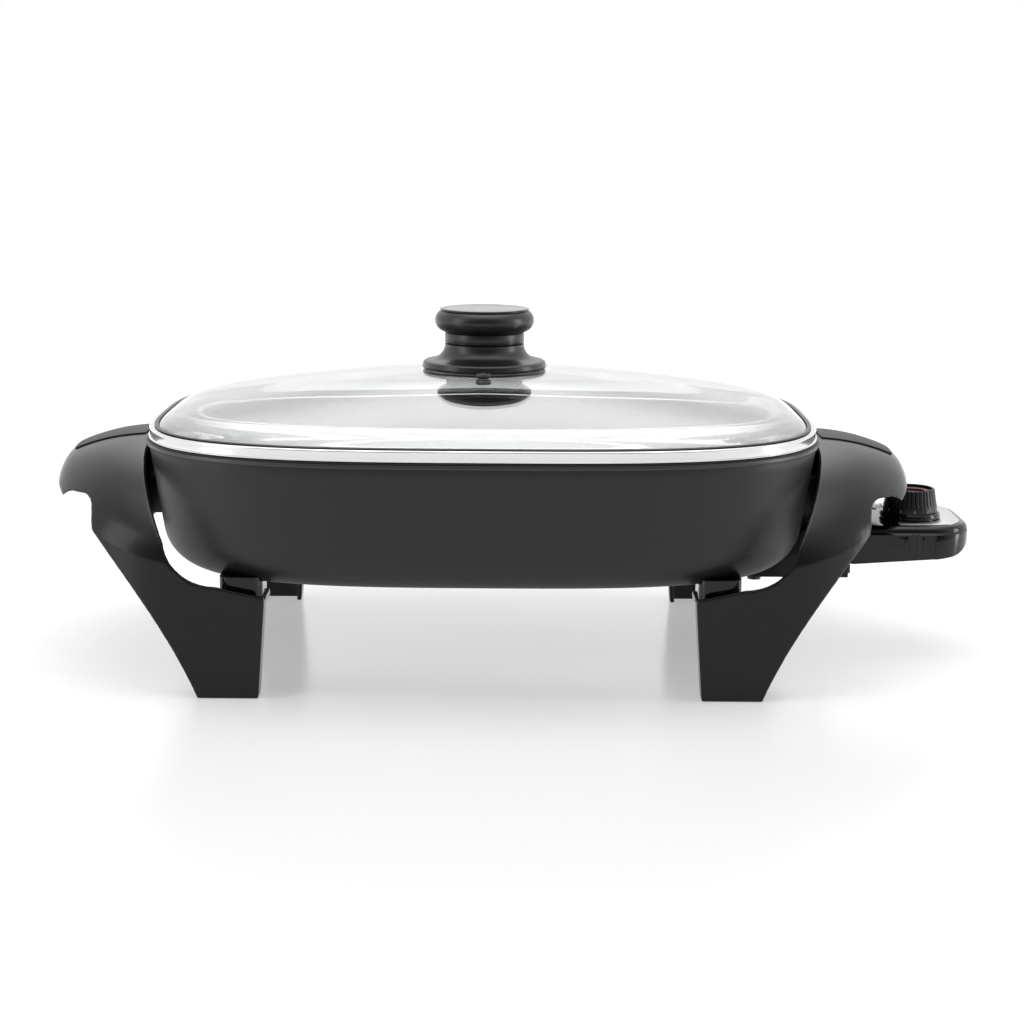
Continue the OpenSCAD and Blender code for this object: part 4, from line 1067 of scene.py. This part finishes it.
def make_floor():
    clear()
    bpy.ops.mesh.primitive_plane_add(size=FLOOR_SIZE, location=(0, 0, FLOOR_Z))
    floor = settle(named(bpy.context.object, "floor"))
    made = bpy.data.materials.new("Floor")
    made.use_nodes = True
    tree = made.node_tree
    main = tree.nodes["Principled BSDF"]
    for socket, value in (("Base Color", (0.8, 0.8, 0.8, 1)), ("Roughness", 0.18),
                          ("Emission Color", (1, 1, 1, 1))):
        main.inputs[socket].default_value = value
    # the share of white that only the eye and mirrors see grows outwards
    place = node(tree, "TexCoord").outputs["Object"]
    away = node(tree, "VectorMath", {0: place, 1: (1.0, 1.4, 1.0)},
                operation="MULTIPLY")
    away = node(tree, "VectorMath", {0: away.outputs[0]}, operation="LENGTH")
    share = spread(tree, away.outputs["Value"], 0.25, 2.4, FLOOR_GLOW_NEAR, FLOOR_GLOW_FAR)
    glow = maths(tree, "MULTIPLY", seen_by_eye(tree, "Is Glossy Ray"), share)
    tree.links.new(glow, main.inputs["Emission Strength"])
    floor.data.materials.append(made)


def make_sky():
    """White where the camera sees it, a soft fill for the surfaces."""
    scene = bpy.context.scene
    world = scene.world or bpy.data.worlds.new("World")
    scene.world = world
    world.use_nodes = True
    tree = world.node_tree
    tree.nodes.clear()
    # shiny surfaces see white except behind the camera
    way = node(tree, "TexCoord").outputs["Generated"]
    parts = node(tree, "SeparateXYZ", {"Vector": way})
    front = spread(tree, parts.outputs["Y"], -0.95, -0.3, SKY_BEHIND, SKY_WHITE,
                   interpolation_type="SMOOTHSTEP")
    path = node(tree, "LightPath")
    gloss = node(tree, "Mix", {
        0: path.outputs["Is Glossy Ray"], 2: SKY_FILL, 3: front}, data_type="FLOAT")
    level = node(tree, "Mix", {
        0: seen_by_eye(tree), 2: gloss.outputs[0], 3: 1.0}, data_type="FLOAT")
    back = node(tree, "Background", {
        "Strength": level.outputs[0], "Color": (1, 1, 1, 1)})
    node(tree, "OutputWorld", {"Surface": back.outputs[0]})


def soften(light):
    """Fades a lamp from its middle to its edges."""
    light.use_nodes = True
    tree = light.node_tree
    where = node(tree, "SeparateXYZ", {
        0: node(tree, "NewGeometry").outputs["Parametric"]})
    share = 1.0
    for axis in "XY":
        off = maths(tree, "ABSOLUTE", maths(tree, "SUBTRACT", where.outputs[axis], 0.5))
        fade = spread(tree, off, 0.08, 0.5, 1.0, 0.0, interpolation_type="SMOOTHSTEP")
        share = maths(tree, "MULTIPLY", fade, share)
    tree.links.new(share, tree.nodes["Emission"].inputs["Strength"])


def make_lamps():
    for name, (place, target, size, power) in LAMPS.items():
        clear()
        bpy.ops.object.light_add(type="AREA", location=place)
        made = bpy.context.object
        made.name = name
        made.data.shape = "RECTANGLE"
        made.data.size, made.data.size_y = size
        made.data.energy = power
        made.rotation_euler = (Vector(target) - Vector(place)).to_track_quat(
            "-Z", "Y").to_euler()
        if name in SOFT_LAMPS:
            soften(made.data)
        # the panel behind is there for the reflections only
        made.visible_diffuse = name != "lamp_back"


def make_camera():
    scene = bpy.context.scene
    clear()
    bpy.ops.object.camera_add()
    camera = bpy.context.object
    camera.data.lens = LENS_MM
    camera.data.sensor_width = SENSOR_MM
    camera.data.clip_end = 200
    camera.matrix_world = (Matrix.Translation(CAMERA_PLACE)
                           @ Matrix.Rotation(CAMERA_TILT, 4, "X")
                           @ Matrix.Rotation(CAMERA_ROLL, 4, "Z"))
    scene.camera = camera
    scene.view_settings.view_transform = "Standard"


# Buttons ------------


class Button:
    """What every button has."""
    bl_options = {"REGISTER", "UNDO"}


class SKILLET_OT_pan(Button, bpy.types.Operator):
    """Cast pan with its bosses"""
    bl_idname = "skillet.pan"
    bl_label = "Pan"

    def execute(self, context):
        make_pan()
        return {"FINISHED"}


class SKILLET_OT_frames(Button, bpy.types.Operator):
    """Both handle-and-leg frames"""
    bl_idname = "skillet.frames"
    bl_label = "Handle frames"

    def execute(self, context):
        make_frames()
        return {"FINISHED"}


class SKILLET_OT_grip_pads(Button, bpy.types.Operator):
    """Matt pads on the grips"""
    bl_idname = "skillet.grip_pads"
    bl_label = "Grip pads"

    def execute(self, context):
        make_grip_pads()
        return {"FINISHED"}


class SKILLET_OT_brackets(Button, bpy.types.Operator):
    """Plates between the pan and the frames"""
    bl_idname = "skillet.brackets"
    bl_label = "Brackets"

    def execute(self, context):
        make_brackets()
        return {"FINISHED"}


class SKILLET_OT_leg_pads(Button, bpy.types.Operator):
    """Pads between the legs and the pan"""
    bl_idname = "skillet.leg_pads"
    bl_label = "Leg pads"

    def execute(self, context):
        make_leg_pads()
        return {"FINISHED"}


class SKILLET_OT_guard(Button, bpy.types.Operator):
    """Hood round the terminals"""
    bl_idname = "skillet.guard"
    bl_label = "Terminal guard"

    def execute(self, context):
        make_guard()
        return {"FINISHED"}


class SKILLET_OT_glass(Button, bpy.types.Operator):
    """Domed glass of the lid"""
    bl_idname = "skillet.glass"
    bl_label = "Lid glass"

    def execute(self, context):
        make_glass()
        return {"FINISHED"}


class SKILLET_OT_band(Button, bpy.types.Operator):
    """Steel band round the glass"""
    bl_idname = "skillet.band"
    bl_label = "Lid band"

    def execute(self, context):
        make_band()
        return {"FINISHED"}


class SKILLET_OT_vent(Button, bpy.types.Operator):
    """Eyelet in the glass"""
    bl_idname = "skillet.vent"
    bl_label = "Steam vent"

    def execute(self, context):
        make_vent()
        return {"FINISHED"}


class SKILLET_OT_knob(Button, bpy.types.Operator):
    """Bell, grip and disc of the knob"""
    bl_idname = "skillet.knob"
    bl_label = "Lid knob"

    def execute(self, context):
        make_knob()
        return {"FINISHED"}


class SKILLET_OT_control_body(Button, bpy.types.Operator):
    """Case, cover and cord sleeve of the heat control"""
    bl_idname = "skillet.control_body"
    bl_label = "Control body"

    def execute(self, context):
        make_control_body()
        return {"FINISHED"}


class SKILLET_OT_control_face(Button, bpy.types.Operator):
    """Plate, lens and dial seat of the heat control"""
    bl_idname = "skillet.control_face"
    bl_label = "Control face"

    def execute(self, context):
        make_control_face()
        return {"FINISHED"}


class SKILLET_OT_dial(Button, bpy.types.Operator):
    """Ribbed dial, its marks and its ring"""
    bl_idname = "skillet.dial"
    bl_label = "Dial"

    def execute(self, context):
        make_dial()
        return {"FINISHED"}


class SKILLET_OT_metalwork(Button, bpy.types.Operator):
    """Finishes of the small parts that keep their shape"""
    bl_idname = "skillet.metalwork"
    bl_label = "Metalwork"

    def execute(self, context):
        make_metalwork()
        return {"FINISHED"}


class SKILLET_OT_stage(Button, bpy.types.Operator):
    """Floor, sky, lamps and camera"""
    bl_idname = "skillet.stage"
    bl_label = "Stage"

    def execute(self, context):
        make_floor()
        make_sky()
        make_lamps()
        make_camera()
        return {"FINISHED"}


# in the order of their classes, which is the order that they run in
BUTTONS = Button.__subclasses__()


class SKILLET_PT_panel(bpy.types.Panel):
    bl_label = "Electric skillet"
    bl_idname = "SKILLET_PT_panel"
    bl_space_type = "VIEW_3D"
    bl_region_type = "UI"
    bl_category = "Skillet"

    def draw(self, context):
        for settings in (context.scene.skillet_sizes, context.scene.skillet_colours):
            box = self.layout.box()
            for key in settings.__annotations__:
                box.prop(settings, key)
        for made in BUTTONS:
            self.layout.operator(made.bl_idname)


CLASSES = [SkilletSizes, SkilletColours, *BUTTONS, SKILLET_PT_panel]


def register():
    for made in CLASSES:
        bpy.utils.register_class(made)
    bpy.types.Scene.skillet_sizes = PointerProperty(type=SkilletSizes)
    bpy.types.Scene.skillet_colours = PointerProperty(type=SkilletColours)


def unregister():
    del bpy.types.Scene.skillet_colours
    del bpy.types.Scene.skillet_sizes
    for made in reversed(CLASSES):
        bpy.utils.unregister_class(made)


def main():
    register()
    for made in BUTTONS:
        group_name, name = made.bl_idname.split(".")
        getattr(getattr(bpy.ops, group_name), name)()
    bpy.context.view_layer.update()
    clear()


if __name__ == "__main__":
    main()
